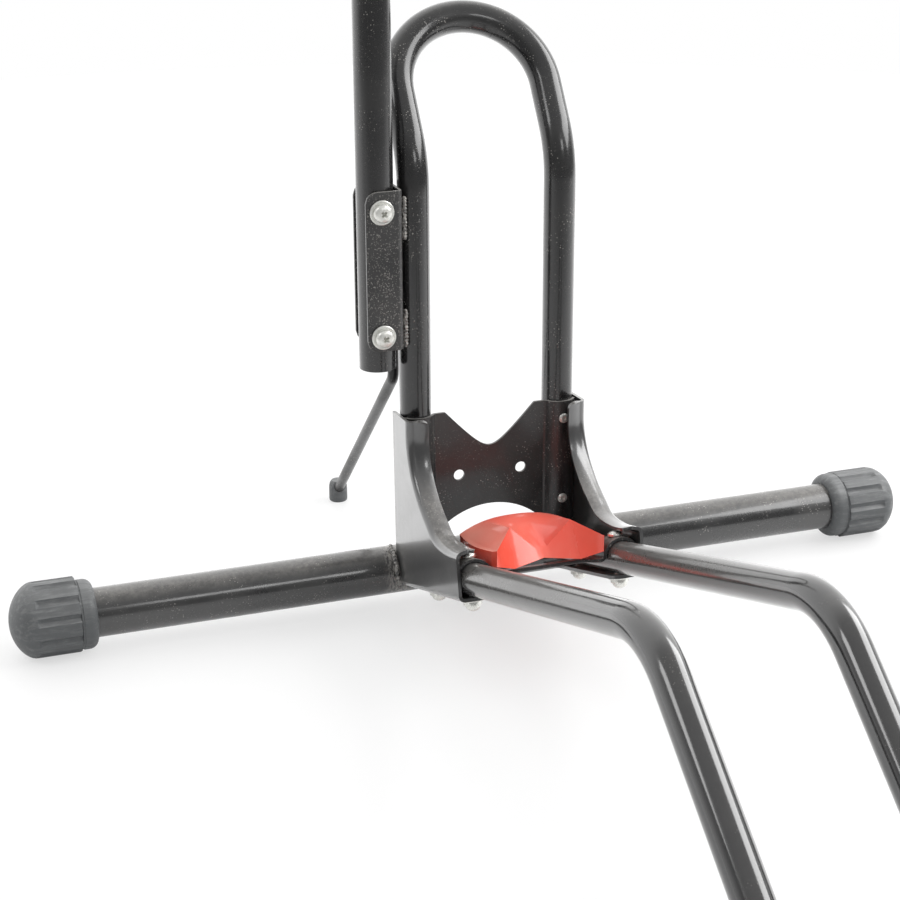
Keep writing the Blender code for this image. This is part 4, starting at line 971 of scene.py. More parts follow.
def cap_outline(caps, first_turn, depth=1.0):
    """The cap's ring of flat lands with a rounded grip groove at each corner, as (y, z)."""
    pitch = math.tau / LANDS
    reaches = [land_distance(caps, (360 * k / LANDS + first_turn) % 360) for k in range(LANDS)]
    grooves = []
    for k, near in enumerate(reaches):
        far = reaches[(k + 1) % LANDS]
        middle = -math.pi / 2 + pitch * k
        normal = Vector((math.cos(middle), math.sin(middle)))
        along = Vector((-normal.y, normal.x))
        corner = normal * near + along * ((far - near * math.cos(pitch)) / math.sin(pitch))
        start = corner - along * caps.groove
        end = corner + (Matrix.Rotation(pitch, 2) @ along) * caps.groove
        inward = -corner.normalized()
        groove = []
        for step in range(GROOVE_STEPS + 1):
            part = step / GROOVE_STEPS
            sink = caps.groove * 0.55 * depth * (1 - abs(2 * part - 1) ** 1.7)
            groove.append(start.lerp(end, part) + inward * sink)
        grooves.append(groove)
    outline = []
    for groove, following in zip(grooves, grooves[1:] + grooves[:1]):
        outline += groove
        outline += [groove[-1].lerp(following[0], part / 4) for part in (1, 2, 3)]
    return outline


def cap_rings(side, first_turn):
    """The cap's rings from the bottom of its bore, round the collar and out to the tip."""
    caps, tubes = groups("caps", "tubes")
    body, shallow, plain = (cap_outline(caps, first_turn, depth) for depth in (1.0, 0.35, 0.0))
    spokes = [point.normalized() for point in body]
    bore = tubes.cross_radius + BORE_FIT
    bore_end = TUBE_HALF + GAP
    collar_x = caps.tip - caps.span
    body_start = collar_x + caps.collar
    body_end = caps.tip - caps.dome
    shoulder = caps.collar_radius - tubes.cross_radius - COLLAR_LIP
    stations = [(bore_end, bore), (collar_x, bore), (collar_x, caps.collar_radius - shoulder)]
    for step in range(1, COLLAR_STEPS + 1):
        turn = math.pi / 2 * step / COLLAR_STEPS
        stations.append((collar_x + COLLAR_ROUND * (1 - math.cos(turn)),
                         caps.collar_radius - shoulder * (1 - math.sin(turn))))
    ring_start = body_start - caps.ring_width
    for part, depth in ((0, 0), (0.1, 0.5), (0.3, 0.92), (0.5, 1), (0.7, 0.92), (0.9, 0.5)):
        x = ring_start + caps.ring_width * part
        stations.append((x, caps.collar_radius - caps.ring_depth * depth))
    rings = [[Vector((bore_end, 0, 0))]]
    for x, radius in stations:
        rings.append([Vector((x, spoke.x * radius, spoke.y * radius)) for spoke in spokes])

    def skin(x, outline, blend=0.0, scale=1.0):
        ring = []
        for point, spoke in zip(outline, spokes):
            place = (point * (1 - blend) + spoke * caps.land_mid * blend) * scale
            ring.append(Vector((x, place.x, place.y)))
        rings.append(ring)

    for part, scale in ((0.0, 0.965), (0.12, 0.985), (0.35, 0.996), (0.7, 1.0)):
        skin(body_start + 0.001 * part, shallow if part < 0.3 else body, scale=scale)
    fade_start = body_end - GROOVE_FADE
    for part in (0.15, 0.5, 0.85):
        skin(body_start + (fade_start - body_start) * part, body)
    for part in (0.0, 0.2, 0.4, 0.6, 0.8, 1.0):
        skin(body_end - GROOVE_FADE * (1 - part), cap_outline(caps, first_turn, 1 - part ** 1.6))
    for step in range(1, DOME_STEPS):
        turn = math.pi / 2 * step / DOME_STEPS
        part = math.sin(turn)
        skin(body_end + caps.dome * part, plain, min(1.0, part * 1.2),
             (1 - 0.12 * part ** 1.6) * math.cos(turn) ** 0.94)
    rings.append([Vector((caps.tip, 0, 0))])
    return [[Vector((side * p.x, p.y, p.z + AXIS_Z)) for p in ring] for ring in rings]


def lip_stations(sheets):
    """Points along the lip's front edge with their outward directions and distances to its ends."""
    path = smooth_path(LIP_PATH, 12)
    total = sum((far - near).length for near, far in zip(path, path[1:]))
    corner = sheets.lip_corner
    places = [corner * part for part in CORNER_PARTS[:-1]]
    places += [corner + (total - 2 * corner) * i / LIP_STEPS for i in range(LIP_STEPS + 1)]
    places += [total - corner * part for part in reversed(CORNER_PARTS[:-1])]
    stations = []
    for place in places:
        ahead, behind = walk(path, min(place + 0.001, total)), walk(path, max(place - 0.001, 0))
        tangent = (ahead - behind).normalized()
        stations.append((walk(path, place), Vector((-tangent.y, tangent.x)), min(place, total - place)))
    return stations


def flange_places(sheets):
    """Places along the rail where the flange's strips are built."""
    rear, front, round_off = sheets.flange_rear, sheets.flange_front, sheets.flange_corner
    places = [rear + (front - round_off - rear) * i / FLANGE_STEPS for i in range(FLANGE_STEPS)]
    return places + [front - round_off * part for part in reversed(CORNER_PARTS)]


def bracket_face():
    """Distance of the brackets' outer faces from the middle."""
    tubes, sheets = groups("tubes", "sheets")
    return tubes.hoop_x + tubes.hoop_radius + GAP + sheets.sheet


def strap_radius():
    """Outer radius of the straps where they lie on the rails."""
    tubes, sheets = groups("tubes", "sheets")
    return tubes.hoop_radius + GAP + sheets.strap


def clamp_web():
    """Where the outer face of the clamp's web lies across."""
    (tubes,) = groups("tubes")
    return -(tubes.hoop_x + tubes.hoop_radius + CLAMP_STANDOFF)


def clamp_half():
    """Half of the clamp's depth."""
    tubes, sheets = groups("tubes", "sheets")
    return tubes.post_radius + GAP + sheets.sheet


def post_axis():
    """Where the post's axis lies across."""
    tubes, sheets = groups("tubes", "sheets")
    return clamp_web() - sheets.sheet - GAP - tubes.post_radius


class StandPiece:
    """What the operators share."""

    bl_options = {"REGISTER", "UNDO"}


class BuildCrossTube(StandPiece, bpy.types.Operator):
    """Build the straight tube that carries the brackets and the caps"""

    bl_idname = "stand.cross_tube"
    bl_label = "Cross tube"

    def execute(self, context):
        (tubes,) = groups("tubes")
        ends = (Vector((x, 0, AXIS_Z)) for x in (-TUBE_HALF, TUBE_HALF))
        path = between(*ends, STRAIGHT_STEPS)
        bm = tube(path, tubes.cross_radius, tubes.cross_radius - tubes.cross_wall, ROUND)
        add_piece("cross_tube_painted", bm, "tube_paint", "cross_tube")
        return {"FINISHED"}


class BuildCaps(StandPiece, bpy.types.Operator):
    """Build the ribbed rubber caps"""

    bl_idname = "stand.caps"
    bl_label = "End caps"

    def execute(self, context):
        for name, side in SIDES:
            bm = loft(cap_rings(side, FIRST_LANDS[name]))
            add_piece("ribbed_cap_" + name, bm, "cap_rubber", "end_cap_" + name, "cap_" + name,
                      sharp=CAP_CREASE)
        return {"FINISHED"}


class BuildBrackets(StandPiece, bpy.types.Operator):
    """Build the pressed side brackets"""

    bl_idname = "stand.brackets"
    bl_label = "Side brackets"

    def execute(self, context):
        tubes, sheets = groups("tubes", "sheets")
        outer = bracket_face()
        flange_n = -(tubes.hoop_radius + GAP + sheets.sheet)
        radius = tubes.cross_radius + NOTCH_CLEARANCE
        first = 180 - math.degrees(math.acos(-BRACKET_REAR_LOW_Y / radius))
        for name, side in SIDES:
            lip = self.lip(sheets, side, outer)
            flange = self.flange(sheets, side, outer, flange_n)
            notch = arc((0, AXIS_Z), radius, first, NOTCH_END_ANGLE, NOTCH_STEPS)
            web = [Vector((side * outer, y, z)) for y, z in (BRACKET_TOP_REAR, *notch)]
            web += [row[0] for row in flange + lip]

            def facing(centre):
                if abs(abs(centre.x) - outer) < GAP / 3:
                    return Vector((side, 0, 0))
                if above_rail(centre) < flange_n + sheets.flange_bend + GAP:
                    return Vector((side, 0, 0)) - rail_up()
                return Vector((side, -1, 1))

            bm = strip_sheet([lip, flange], facing, [web])
            add_piece("pressed_bracket_" + name, bm, "sheet_paint", "bracket_" + name,
                      edge=sheets.edge, sheet=sheets.sheet)
        return {"FINISHED"}

    def lip(self, sheets, side, outer):
        """Rows round the bend of the front lip and over its crowned face."""
        rows = []
        radius = sheets.lip_bend
        for point, normal, to_end in lip_stations(sheets):
            row = []
            for across, out in arc((outer - radius, -radius), radius, 0, 90, PRESS_STEPS):
                place = point + normal * out
                row.append(Vector((side * across, place.x, place.y)))
            splay = sheets.lip_splay * max(0.0, min(1.0, (point.y - LIP_SPLAY_FROM_Z) / LIP_SPLAY_RISE))
            inner = outer - sheets.lip_width + inset(to_end, sheets.lip_corner)
            place = point + normal * splay
            end = Vector((side * inner, place.x, place.y))
            crown = Vector((0, normal.x, normal.y)) * LIP_CROWN
            rim = row[-1]
            for i in range(1, LIP_ROWS + 1):
                row.append(rim.lerp(end, i / LIP_ROWS) + crown * math.sin(math.pi * i / LIP_ROWS))
            rows.append(row)
        return rows

    def flange(self, sheets, side, outer, flange_n):
        """Rows round the bend of the flange and across its flat."""
        rows = []
        centre = (outer - sheets.flange_bend, flange_n + sheets.flange_bend)
        section = arc(centre, sheets.flange_bend, 0, -90, PRESS_STEPS)
        for u in flange_places(sheets):
            row = [rail_point(side * x, u, n) for x, n in section]
            inner = outer - sheets.flange_width + inset(sheets.flange_front - u, sheets.flange_corner)
            rows.append(row + [rail_point(side * inner, u, flange_n)])
        return rows


class BuildPlate(StandPiece, bpy.types.Operator):
    """Build the notched plate between the uprights"""

    bl_idname = "stand.plate"
    bl_label = "Centre plate"

    def execute(self, context):
        tubes, sheets = groups("tubes", "sheets")
        wrap = tubes.hoop_radius + GAP + sheets.plate
        fillet = sheets.plate_fillet
        fillet_y = sheets.plate_face - fillet
        fillet_x = tubes.hoop_x - math.sqrt((wrap + fillet) ** 2 - (fillet_y - tubes.upright_y) ** 2)
        meet = math.degrees(math.atan2(tubes.upright_y - fillet_y, tubes.hoop_x - fillet_x))
        half = [Vector((fillet_x * i / PLATE_STEPS, sheets.plate_face)) for i in range(PLATE_STEPS)]
        half += arc((fillet_x, fillet_y), fillet, 90, meet, 8)
        start, end = 180 + meet, 360 - PLATE_EDGE_ANGLE
        half += arc((tubes.hoop_x, tubes.upright_y), wrap, start, end, PLATE_STEPS)[1:]
        plan = [Vector((-p.x, p.y)) for p in reversed(half[1:])] + half
        top = [Vector((p.x, p.y, self.top(sheets, p.x))) for p in plan]
        bottom = [Vector((p.x, p.y, self.bottom(sheets, p.x))) for p in plan]

        def facing(centre):
            if abs(centre.x) > tubes.hoop_x - tubes.hoop_radius:
                middle = math.copysign(tubes.hoop_x, centre.x)
                return Vector((centre.x - middle, centre.y - tubes.upright_y, 0))
            return Vector((0, -1, 0))

        bm = strip_sheet([(top, bottom)], facing)
        holes = []
        for _, side in SIDES:
            front, rear = (Vector((side * sheets.hole_x, sheets.plate_face + reach, sheets.hole_z))
                           for reach in (-0.02, 0.02))
            holes.append(drill(front, rear, sheets.hole_radius))
        add_piece("notched_plate", bm, "plate_paint", "centre_plate", edge=sheets.edge * 0.8,
                  sheet=sheets.plate, cutters=holes)
        return {"FINISHED"}

    def top(self, sheets, x):
        """The upper edge, with the rounded V notch."""
        if abs(x) >= sheets.notch_half:
            return sheets.plate_top
        low, radius = sheets.notch_bottom, sheets.notch_round
        slope = math.sqrt((sheets.plate_top - low + radius) ** 2 - radius ** 2) / sheets.notch_half
        return low + math.hypot(slope * x, radius) - radius

    def bottom(self, sheets, x):
        """The lower edge, with the arch over the tyre's place."""
        if abs(x) >= sheets.arch_radius:
            return sheets.plate_leg
        arch = sheets.arch_top - sheets.arch_radius + math.sqrt(sheets.arch_radius ** 2 - x ** 2)
        return max(sheets.plate_leg, arch)


class BuildUpperHoop(StandPiece, bpy.types.Operator):
    """Build the uprights and the leaning top that joins them"""

    bl_idname = "stand.upper_hoop"
    bl_label = "Upper hoop"

    def execute(self, context):
        (tubes,) = groups("tubes")
        up = Vector((0, math.sin(tubes.upright_lean), math.cos(tubes.upright_lean)))
        rise = tubes.bend_radius * math.tan(tubes.upright_lean / 2)
        corner = Vector((-tubes.hoop_x, tubes.upright_y, tubes.upright_bend + rise))
        foot = Vector((-tubes.hoop_x, tubes.upright_y, tubes.upright_foot))
        centre = corner + up * (rise + tubes.upright_straight)
        centre.x = 0
        bm = hoop([foot] + bend(corner, foot, corner + up, tubes.bend_radius), centre, up)
        add_piece("uprights", bm, "upright_paint", "upper_hoop")
        return {"FINISHED"}


class BuildLowerHoop(StandPiece, bpy.types.Operator):
    """Build the rails and the front that joins them on the floor"""

    bl_idname = "stand.lower_hoop"
    bl_label = "Lower hoop"

    def execute(self, context):
        (tubes,) = groups("tubes")
        start = rail_point(-tubes.hoop_x, tubes.rail_rear, 0)
        corner = rail_point(-tubes.hoop_x, tubes.rail_corner, 0)
        down = Vector((0, -math.cos(tubes.rail_fall), -math.sin(tubes.rail_fall)))
        fall = (corner.z - tubes.hoop_radius) / math.sin(tubes.rail_fall)
        centre = corner + down * (fall - tubes.hoop_x)
        centre.x = 0
        bm = hoop([start] + bend(corner, start, corner + down, tubes.bend_radius), centre, down)
        add_piece("rails", bm, "rail_paint", "lower_hoop")
        return {"FINISHED"}


class BuildStraps(StandPiece, bpy.types.Operator):
    """Build the pressed strips that hold the rails down"""

    bl_idname = "stand.straps"
    bl_label = "Saddle straps"

    def execute(self, context):
        tubes, sheets = groups("tubes", "sheets")
        outer = strap_radius()
        start, end = 90 + STRAP_OUTER_ANGLE, 90 - STRAP_INNER_ANGLE
        over = arc((-tubes.hoop_x, 0), outer, start, end, STRAP_STEPS)
        heading = math.radians(end)
        centre = over[-1] + Vector((math.cos(heading), math.sin(heading))) * STRAP_BEND
        half = over + arc(centre, STRAP_BEND, 270 - STRAP_INNER_ANGLE, 270, PRESS_STEPS)[1:]
        shoulder = half[-1]
        waist = Vector((-sheets.waist_x, shoulder.y))
        section = mirror_section(half + between(shoulder, waist, 8)[1:])
        half_width = sheets.strap_width / 2

        def facing(centre):
            if abs(centre.x) < tubes.hoop_x - outer * 0.9:
                return rail_up()
            middle = math.copysign(tubes.hoop_x, centre.x)
            return Vector((centre.x - middle, 0, 0)) + rail_up() * above_rail(centre)

        for name, u in zip(("rear", "front"), RAIL_BOLT_PLACES):
            rows = []
            for waist_u, full_u in ((sheets.waist_rear, -half_width), (sheets.waist_front, half_width)):
                row = []
                for p in section:
                    part = mix_stops(((sheets.waist_x, 0.0), (-shoulder.x, 1.0)), abs(p.x))
                    ease = part * part * (3 - 2 * part)
                    row.append(rail_point(p.x, u + waist_u + (full_u - waist_u) * ease, p.y))
                rows.append(row)
            add_piece("pressed_strap_" + name, strip_sheet([rows], facing), "strap_paint",
                      "saddle_strap_" + name, edge=sheets.edge, sheet=sheets.strap)
        return {"FINISHED"}


class BuildRailFasteners(StandPiece, bpy.types.Operator):
    """Build the bolts through the rails and their dome nuts"""

    bl_idname = "stand.rail_fasteners"
    bl_label = "Rail bolts and dome nuts"

    def execute(self, context):
        tubes, sheets, sizes = groups("tubes", "sheets", "fasteners")
        seat = strap_radius() + GAP
        nut_top = -(tubes.hoop_radius + sheets.sheet + 2 * GAP)
        end = nut_top - sizes.bolt_in_nut
        shank, head, height = sizes.rail_bolt, sizes.rail_head, sizes.rail_head_height
        bolt = [(0, end), (shank, end), (shank, seat), (head * 0.96, seat)]
        bolt += [(head, seat + height * 0.06)]
        bolt += domed(head, seat + height * 0.22, height * 0.78)
        nut = self.nut(sizes, nut_top, end)
        for name, side in SIDES:
            for place, u in zip(("rear_", "front_"), RAIL_BOLT_PLACES):
                base = rail_point(side * tubes.hoop_x, u, 0)
                add_piece("bolt_" + place + name, turned(base, rail_up(), bolt), "zinc_bright",
                          "rail_bolt_" + place + name)
                add_piece("cap_nut_" + place + name, turned(base, rail_up(), nut), "zinc_bright",
                          "dome_nut_" + place + name)
        return {"FINISHED"}

    def nut(self, sizes, top, bolt_end):
        """A flanged dome nut, open towards the bolt."""
        bore = sizes.rail_bolt + GAP
        half, rim = sizes.nut_half, sizes.nut_flange
        corner = half / math.cos(math.pi / 6)
        flange = top - sizes.nut_flange_height
        hex_end = flange - sizes.nut_height
        profile = [(0, bolt_end - GAP), (bore, bolt_end - GAP), (bore, top), (rim * 0.97, top),
                   (rim, top - 0.0002), (rim, top - 0.0008), (rim * 0.93, flange),
                   (corner, flange, half), (corner, hex_end + 0.0007, half),
                   (half * 1.05, hex_end + 0.0002, half), (half * 0.99, hex_end, half)]
        for step in range(10):
            turn = math.pi / 2 * step / 10
            profile.append((half * 0.93 * math.cos(turn), hex_end - sizes.nut_dome * math.sin(turn)))
        return profile + [(0, hex_end - sizes.nut_dome)]


class BuildPlateScrews(StandPiece, bpy.types.Operator):
    """Build the small screws through the plate's wings"""

    bl_idname = "stand.plate_screws"
    bl_label = "Plate screws"

    def execute(self, context):
        tubes, sheets, sizes = groups("tubes", "sheets", "fasteners")
        shank, tail = sizes.plate_screw, -sizes.plate_screw_length
        head, height = sizes.plate_head, sizes.plate_head_height
        socket = head * 0.42
        screw = [(0, tail), (shank, tail), (shank, 0), (head * 0.95, 0), (head, height * 0.12)]
        screw += domed(head, height * 0.3, height * 0.7)[:-3]
        screw += [(socket * 1.12, height), (socket, height * 0.96, socket * 0.87),
                  (socket, height * 0.35, socket * 0.87), (0, height * 0.25)]
        front = tubes.upright_y - tubes.hoop_radius - 2 * GAP - sheets.plate
        for name, side in SIDES:
            for place, z in zip(("lower_", "upper_"), PLATE_SCREW_HEIGHTS):
                bm = turned((side * tubes.hoop_x, front, z), (0, -1, 0), screw)
                add_piece("screw_" + place + name, bm, "zinc_weathered", "plate_screw_" + place + name)
        return {"FINISHED"}


class BuildSaddle(StandPiece, bpy.types.Operator):
    """Build the red moulding that the tyre rests in"""

    bl_idname = "stand.saddle"
    bl_label = "Wheel saddle"

    def execute(self, context):
        (saddle,) = groups("saddle")
        columns = self.columns(saddle)
        parts = [i / SADDLE_ROWS for i in range(SADDLE_ROWS + 1)]
        bm = bmesh.new()
        top = [[bm.verts.new(self.upper_point(saddle, x, part)) for x in columns] for part in parts]
        low = [[bm.verts.new(self.lower_point(saddle, x, part)) for x in columns] for part in parts]
        last = len(columns) - 1
        for i in range(SADDLE_ROWS):
            for j in range(last):
                bm.faces.new((top[i][j], top[i][j + 1], top[i + 1][j + 1], top[i + 1][j]))
                bm.faces.new((low[i][j], low[i + 1][j], low[i + 1][j + 1], low[i][j + 1]))
            bm.faces.new((top[i][0], top[i + 1][0], low[i + 1][0], low[i][0]))
            bm.faces.new((top[i][last], low[i][last], low[i + 1][last], top[i + 1][last]))
        for i in (0, SADDLE_ROWS):
            for j in range(last):
                bm.faces.new((top[i][j], low[i][j], low[i][j + 1], top[i][j + 1]))
        bmesh.ops.recalc_face_normals(bm, faces=bm.faces)
        add_piece("red_saddle", bm, "saddle_red", "wheel_saddle", sharp=30.0)
        return {"FINISHED"}

    def columns(self, saddle):
        """Places across, closer at the wall and with one at each crease."""
        wall = saddle.half - saddle.wall
        breaks = [0, saddle.trough_x, saddle.peak_x, saddle.edge_peak_x, wall - GAP, wall,
                  saddle.chamfer_x, saddle.half]
        half = [0.0]
        for near, far in zip(breaks, breaks[1:]):
            count = max(1, round((far - near) / SADDLE_PITCH))
            half += [near + (far - near) * (i + 1) / count for i in range(count)]
        return [-x for x in reversed(half[1:])] + half

    def along(self, saddle, x, part):
        """Where the top lies along the rails, from its rear edge (0) to its front edge (1)."""
        front = mix_stops(((0, saddle.trough), (saddle.peak_x, saddle.peak),
                           (saddle.chamfer_x, saddle.front), (saddle.half, saddle.side)), abs(x))
        return saddle.rear + (front - saddle.rear) * part

    def upper_point(self, saddle, x, part):
        return rail_point(x, self.along(saddle, x, part), self.height(saddle, x, part))

    def lower_point(self, saddle, x, part):
        """The point below: inside the moulding, or at the lower edge of its side or front wall."""
        at_wall = abs(x) > saddle.half - saddle.wall - GAP / 2 or part > 0.95
        if at_wall:
            n = mix_stops(((0, saddle.edge_n), (saddle.edge_peak_x, saddle.edge_peak_n),
                           (saddle.chamfer_x, saddle.edge_n)), abs(x))
        else:
            n = self.height(saddle, x, part) - saddle.wall
        lean = mix_stops(((0, saddle.lean_mid), (saddle.peak_x, saddle.lean_peak),
                          (saddle.chamfer_x, saddle.lean_side)), abs(x))
        return rail_point(x, self.along(saddle, x, part) + lean * max(0.0, part - 0.9) * 10, n)

    def height(self, saddle, x, part):
        """The top's height, from the arch at its rear (0) to the V trough at its front (1)."""
        across = abs(x)
        arch = saddle.arch_n - (saddle.arch_n - saddle.arch_side_n) * (across / saddle.half) ** 2.4
        front = mix_stops(((0, saddle.trough_n), (saddle.trough_x, saddle.trough_n + GAP),
                           (saddle.peak_x, saddle.ridge_n), (saddle.chamfer_x, saddle.side_n),
                           (saddle.half, saddle.side_n - GAP)), across)
        side = (across / saddle.half) ** 2
        ease = (1 - side) * part ** 1.4 + side * (1 - (1 - part) ** 3.5)
        return arch + (front - arch) * ease


class BuildClamp(StandPiece, bpy.types.Operator):
    """Build the channel that clamps the post"""

    bl_idname = "stand.clamp"
    bl_label = "Post clamp"

    def execute(self, context):
        tubes, sheets = groups("tubes", "sheets")
        front, rear = tubes.upright_y - clamp_half(), tubes.upright_y + clamp_half()
        radius = sheets.clamp_bend
        bend_x = clamp_web() - radius
        edge = [sheets.clamp_left + sheets.clamp_corner * part for part in CORNER_PARTS]
        plan = [Vector((x, front)) for x in edge]
        plan += arc((bend_x, front + radius), radius, -90, 0, PRESS_STEPS)
        plan += arc((bend_x, rear - radius), radius, 0, 90, PRESS_STEPS)
        plan += [Vector((x, rear)) for x in reversed(edge)]
        insets = [inset(p.x - sheets.clamp_left, sheets.clamp_corner) for p in plan]
        top = [Vector((p.x, p.y, sheets.clamp_top - cut)) for p, cut in zip(plan, insets)]
        bottom = [Vector((p.x, p.y, sheets.clamp_bottom + cut)) for p, cut in zip(plan, insets)]

        def facing(centre):
            return Vector((1 if centre.x > bend_x else 0, centre.y - tubes.upright_y, 0))

        add_piece("channel_clamp", strip_sheet([(top, bottom)], facing), "clamp_paint", "post_clamp",
                  edge=sheets.edge, sheet=sheets.sheet)
        return {"FINISHED"}


class BuildPost(StandPiece, bpy.types.Operator):
    """Build the post and its plug"""

    bl_idname = "stand.post"
    bl_label = "Post"

    def execute(self, context):
        (tubes,) = groups("tubes")
        low = Vector((post_axis(), tubes.upright_y, tubes.post_bottom))
        high = Vector((low.x, low.y, tubes.post_top))
        radius, inner = tubes.post_radius, tubes.post_radius - tubes.hoop_wall
        bm = tube(between(low, high, STRAIGHT_STEPS // 2), radius, inner)
        add_piece("clamped_post", bm, "upright_paint", "post", edge=TUBE_EDGE)
        inner, depth = inner - GAP, -tubes.plug_depth
        plug = [(0, depth), (inner * 0.94, depth), (inner, depth + 0.002), (inner, GAP)]
        plug += [(radius * 0.98, GAP), (radius, GAP + 0.0003)]
        plug += domed(radius, 0.0012, 0.0018, 2.6)
        add_piece("post_plug", turned(high, (0, 0, 1), plug), "plug_plastic", "post_cap")
        return {"FINISHED"}


class BuildClampFasteners(StandPiece, bpy.types.Operator):
    """Build the clamp's screws, washers and nuts"""

    bl_idname = "stand.clamp_fasteners"
    bl_label = "Clamp screws"

    def execute(self, context):
        tubes, sizes = groups("tubes", "fasteners")
        x = post_axis()
        front, rear = tubes.upright_y - clamp_half() - GAP, tubes.upright_y + clamp_half() + GAP
        rim, thick = sizes.washer, sizes.washer_height
        head, height, shank = sizes.clamp_head, sizes.clamp_head_height, sizes.clamp_screw
        nut, nut_height = sizes.clamp_nut, sizes.clamp_nut_height
        bore, corner = shank + GAP, nut / math.cos(math.pi / 6)
        seat = front - thick - GAP
        tail = seat - rear - nut_height - sizes.clamp_screw_over
        washer = [(bore, 0), (rim - 0.0003, 0), (rim, 0.0003), (rim, thick - 0.0004)]
        washer += [(rim - 0.0005, thick), (bore, thick)]
        screw = [(0, tail), (shank - 0.0004, tail), (shank, tail + 0.0004), (shank, 0)]
        screw += [(head * 0.97, 0), (head, height * 0.05)]
        screw += domed(head, height * 0.2, height * 0.8, 2.5, 12)
        hexagon = [(bore, 0), (nut * 1.03, 0, nut), (corner, 0.0006, nut)]
        hexagon += [(corner, nut_height - 0.0006, nut), (nut * 1.03, nut_height, nut)]
        hexagon += [(bore, nut_height)]
        forward, backward = (0, -1, 0), (0, 1, 0)
        width, depth = head * 2 * sizes.recess, height * 0.75
        for name, z in zip(("lower", "upper"), CLAMP_SCREW_HEIGHTS):
            recess = cross_recess((x, seat - height, z), forward, width, depth)
            for label, node, base, axis, profile, sides, cutters in (
                    ("round_washer_", "clamp_washer_", front, forward, washer, HEAD_SIDES, ()),
                    ("pan_screw_", "clamp_screw_", seat, forward, screw, HEAD_SIDES, (recess,)),
                    ("hex_nut_", "clamp_nut_", rear, backward, hexagon, NUT_SIDES, ())):
                bm = turned((x, base, z), axis, profile, sides)
                add_piece(label + name, bm, "zinc_weathered", node + name, cutters=cutters)
        return {"FINISHED"}


class BuildLeg(StandPiece, bpy.types.Operator):
    """Build the swivelling rear leg and its sleeve"""

    bl_idname = "stand.leg"
    bl_label = "Rear leg"

    def execute(self, context):
        leg, caps, tubes = groups("leg", "caps", "tubes")
        y = tubes.upright_y + clamp_half() + GAP + leg.sleeve
        sleeve, rod_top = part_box("leg_sleeve"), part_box("leg_rod")[1].z
        heights = (sleeve[0].z, sleeve[1].z, rod_top, leg.bend_height)
        low, high, top, corner = (Vector((leg.pivot_x, y, z)) for z in heights)
        add_piece("swivel_sleeve", tube([low, high], leg.sleeve, leg.rod + BORE_FIT), "upright_paint",
                  "leg_sleeve", edge=TUBE_EDGE)
        end = Vector((caps.foot_x, caps.foot_y, leg.rod_end))
        rounded = bend(corner, top, end, leg.bend_radius)
        path = [top] + rounded + between(rounded[-1], end, 12)[1:]
        add_piece("bent_rod", rod(path, leg.rod), "leg_paint", "leg_rod", "leg")
        inner, outer, height = leg.rod + GAP, leg.retainer, leg.retainer_height
        retainer = [(inner, 0), (outer * 0.97, 0), (outer, 0.0003), (outer, height * 0.55),
                    (outer * 0.95, height * 0.8), (outer * 0.84, height), (inner, height)]
        bm = turned(high + Vector((0, 0, GAP)), (0, 0, 1), retainer)
        add_piece("push_on_ring", bm, "zinc_weathered", "leg_retainer", "leg")
        radius, height = caps.foot_radius, caps.foot_height
        foot = [(0, 0), (radius * 0.90, 0), (radius * 0.97, 0.0006), (radius, 0.0018)]
        foot += [(radius * wide, height * up) for wide, up in (
            (1, 0.55), (0.97, 0.75), (0.90, 0.88), (0.80, 0.95), (0.70, 1), (0, 1))]
        slope = (corner - end).normalized()
        socket = drill(end - slope * GAP * 2, end + slope * height * 2, inner, FINE)
        add_piece("rubber_foot", turned((caps.foot_x, caps.foot_y, 0), (0, 0, 1), foot), "cap_rubber",
                  "leg_foot", "leg", cutters=[socket])
        return {"FINISHED"}


class BuildWelds(StandPiece, bpy.types.Operator):
    """Build the weld beads and their spatter"""

    bl_idname = "stand.welds"
    bl_label = "Welds"
    radius: length("Bead", 0.0021, "Radius of a bead")

    def execute(self, context):
        (tubes,) = groups("tubes")
        for name, side in SIDES:
            x = side * (bracket_face() + GAP + self.radius)
            reach = tubes.cross_radius + GAP + self.radius
            places = arc((0, AXIS_Z), reach, *BEAD_ARC, BEAD_ARC_STEPS)
            bm = weld_bead([Vector((x, y, z)) for y, z in places], self.radius)
            for _ in range(BRACKET_SPATTER):
                turn = math.radians(100 + 75 * noise.random())
                outward = Vector((0, math.cos(turn), math.sin(turn)))
                aside = side * (0.003 + 0.012 * noise.random() ** 2)
                add_spatter(bm, Vector((x + aside, 0, AXIS_Z)) + outward * tubes.cross_radius, outward)
            add_piece("bead_bracket_" + name, bm, "weld_paint", "bracket_weld_" + name)
        for node, name in BEADS.items():
            low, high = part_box(node)
            x, y = (low.x + high.x) / 2, (low.y + high.y) / 2 - AXIS_Y
            ends = (Vector((x, y, z)) for z in (low.z, high.z))
            bm = weld_bead(between(*ends, STRAIGHT_STEPS), self.radius, 0.3)
            for _ in range(0 if node == "sleeve_weld" else CLAMP_SPATTER):
                turn = math.radians(-120 + 50 * noise.random())
                outward = Vector((math.cos(turn), math.sin(turn), 0))
                z = low.z + (high.z - low.z) * noise.random()
                spot = Vector((-tubes.hoop_x, tubes.upright_y, z))
                add_spatter(bm, spot + outward * tubes.hoop_radius, outward)
            add_piece(name, bm, "weld_paint", node)
        return {"FINISHED"}


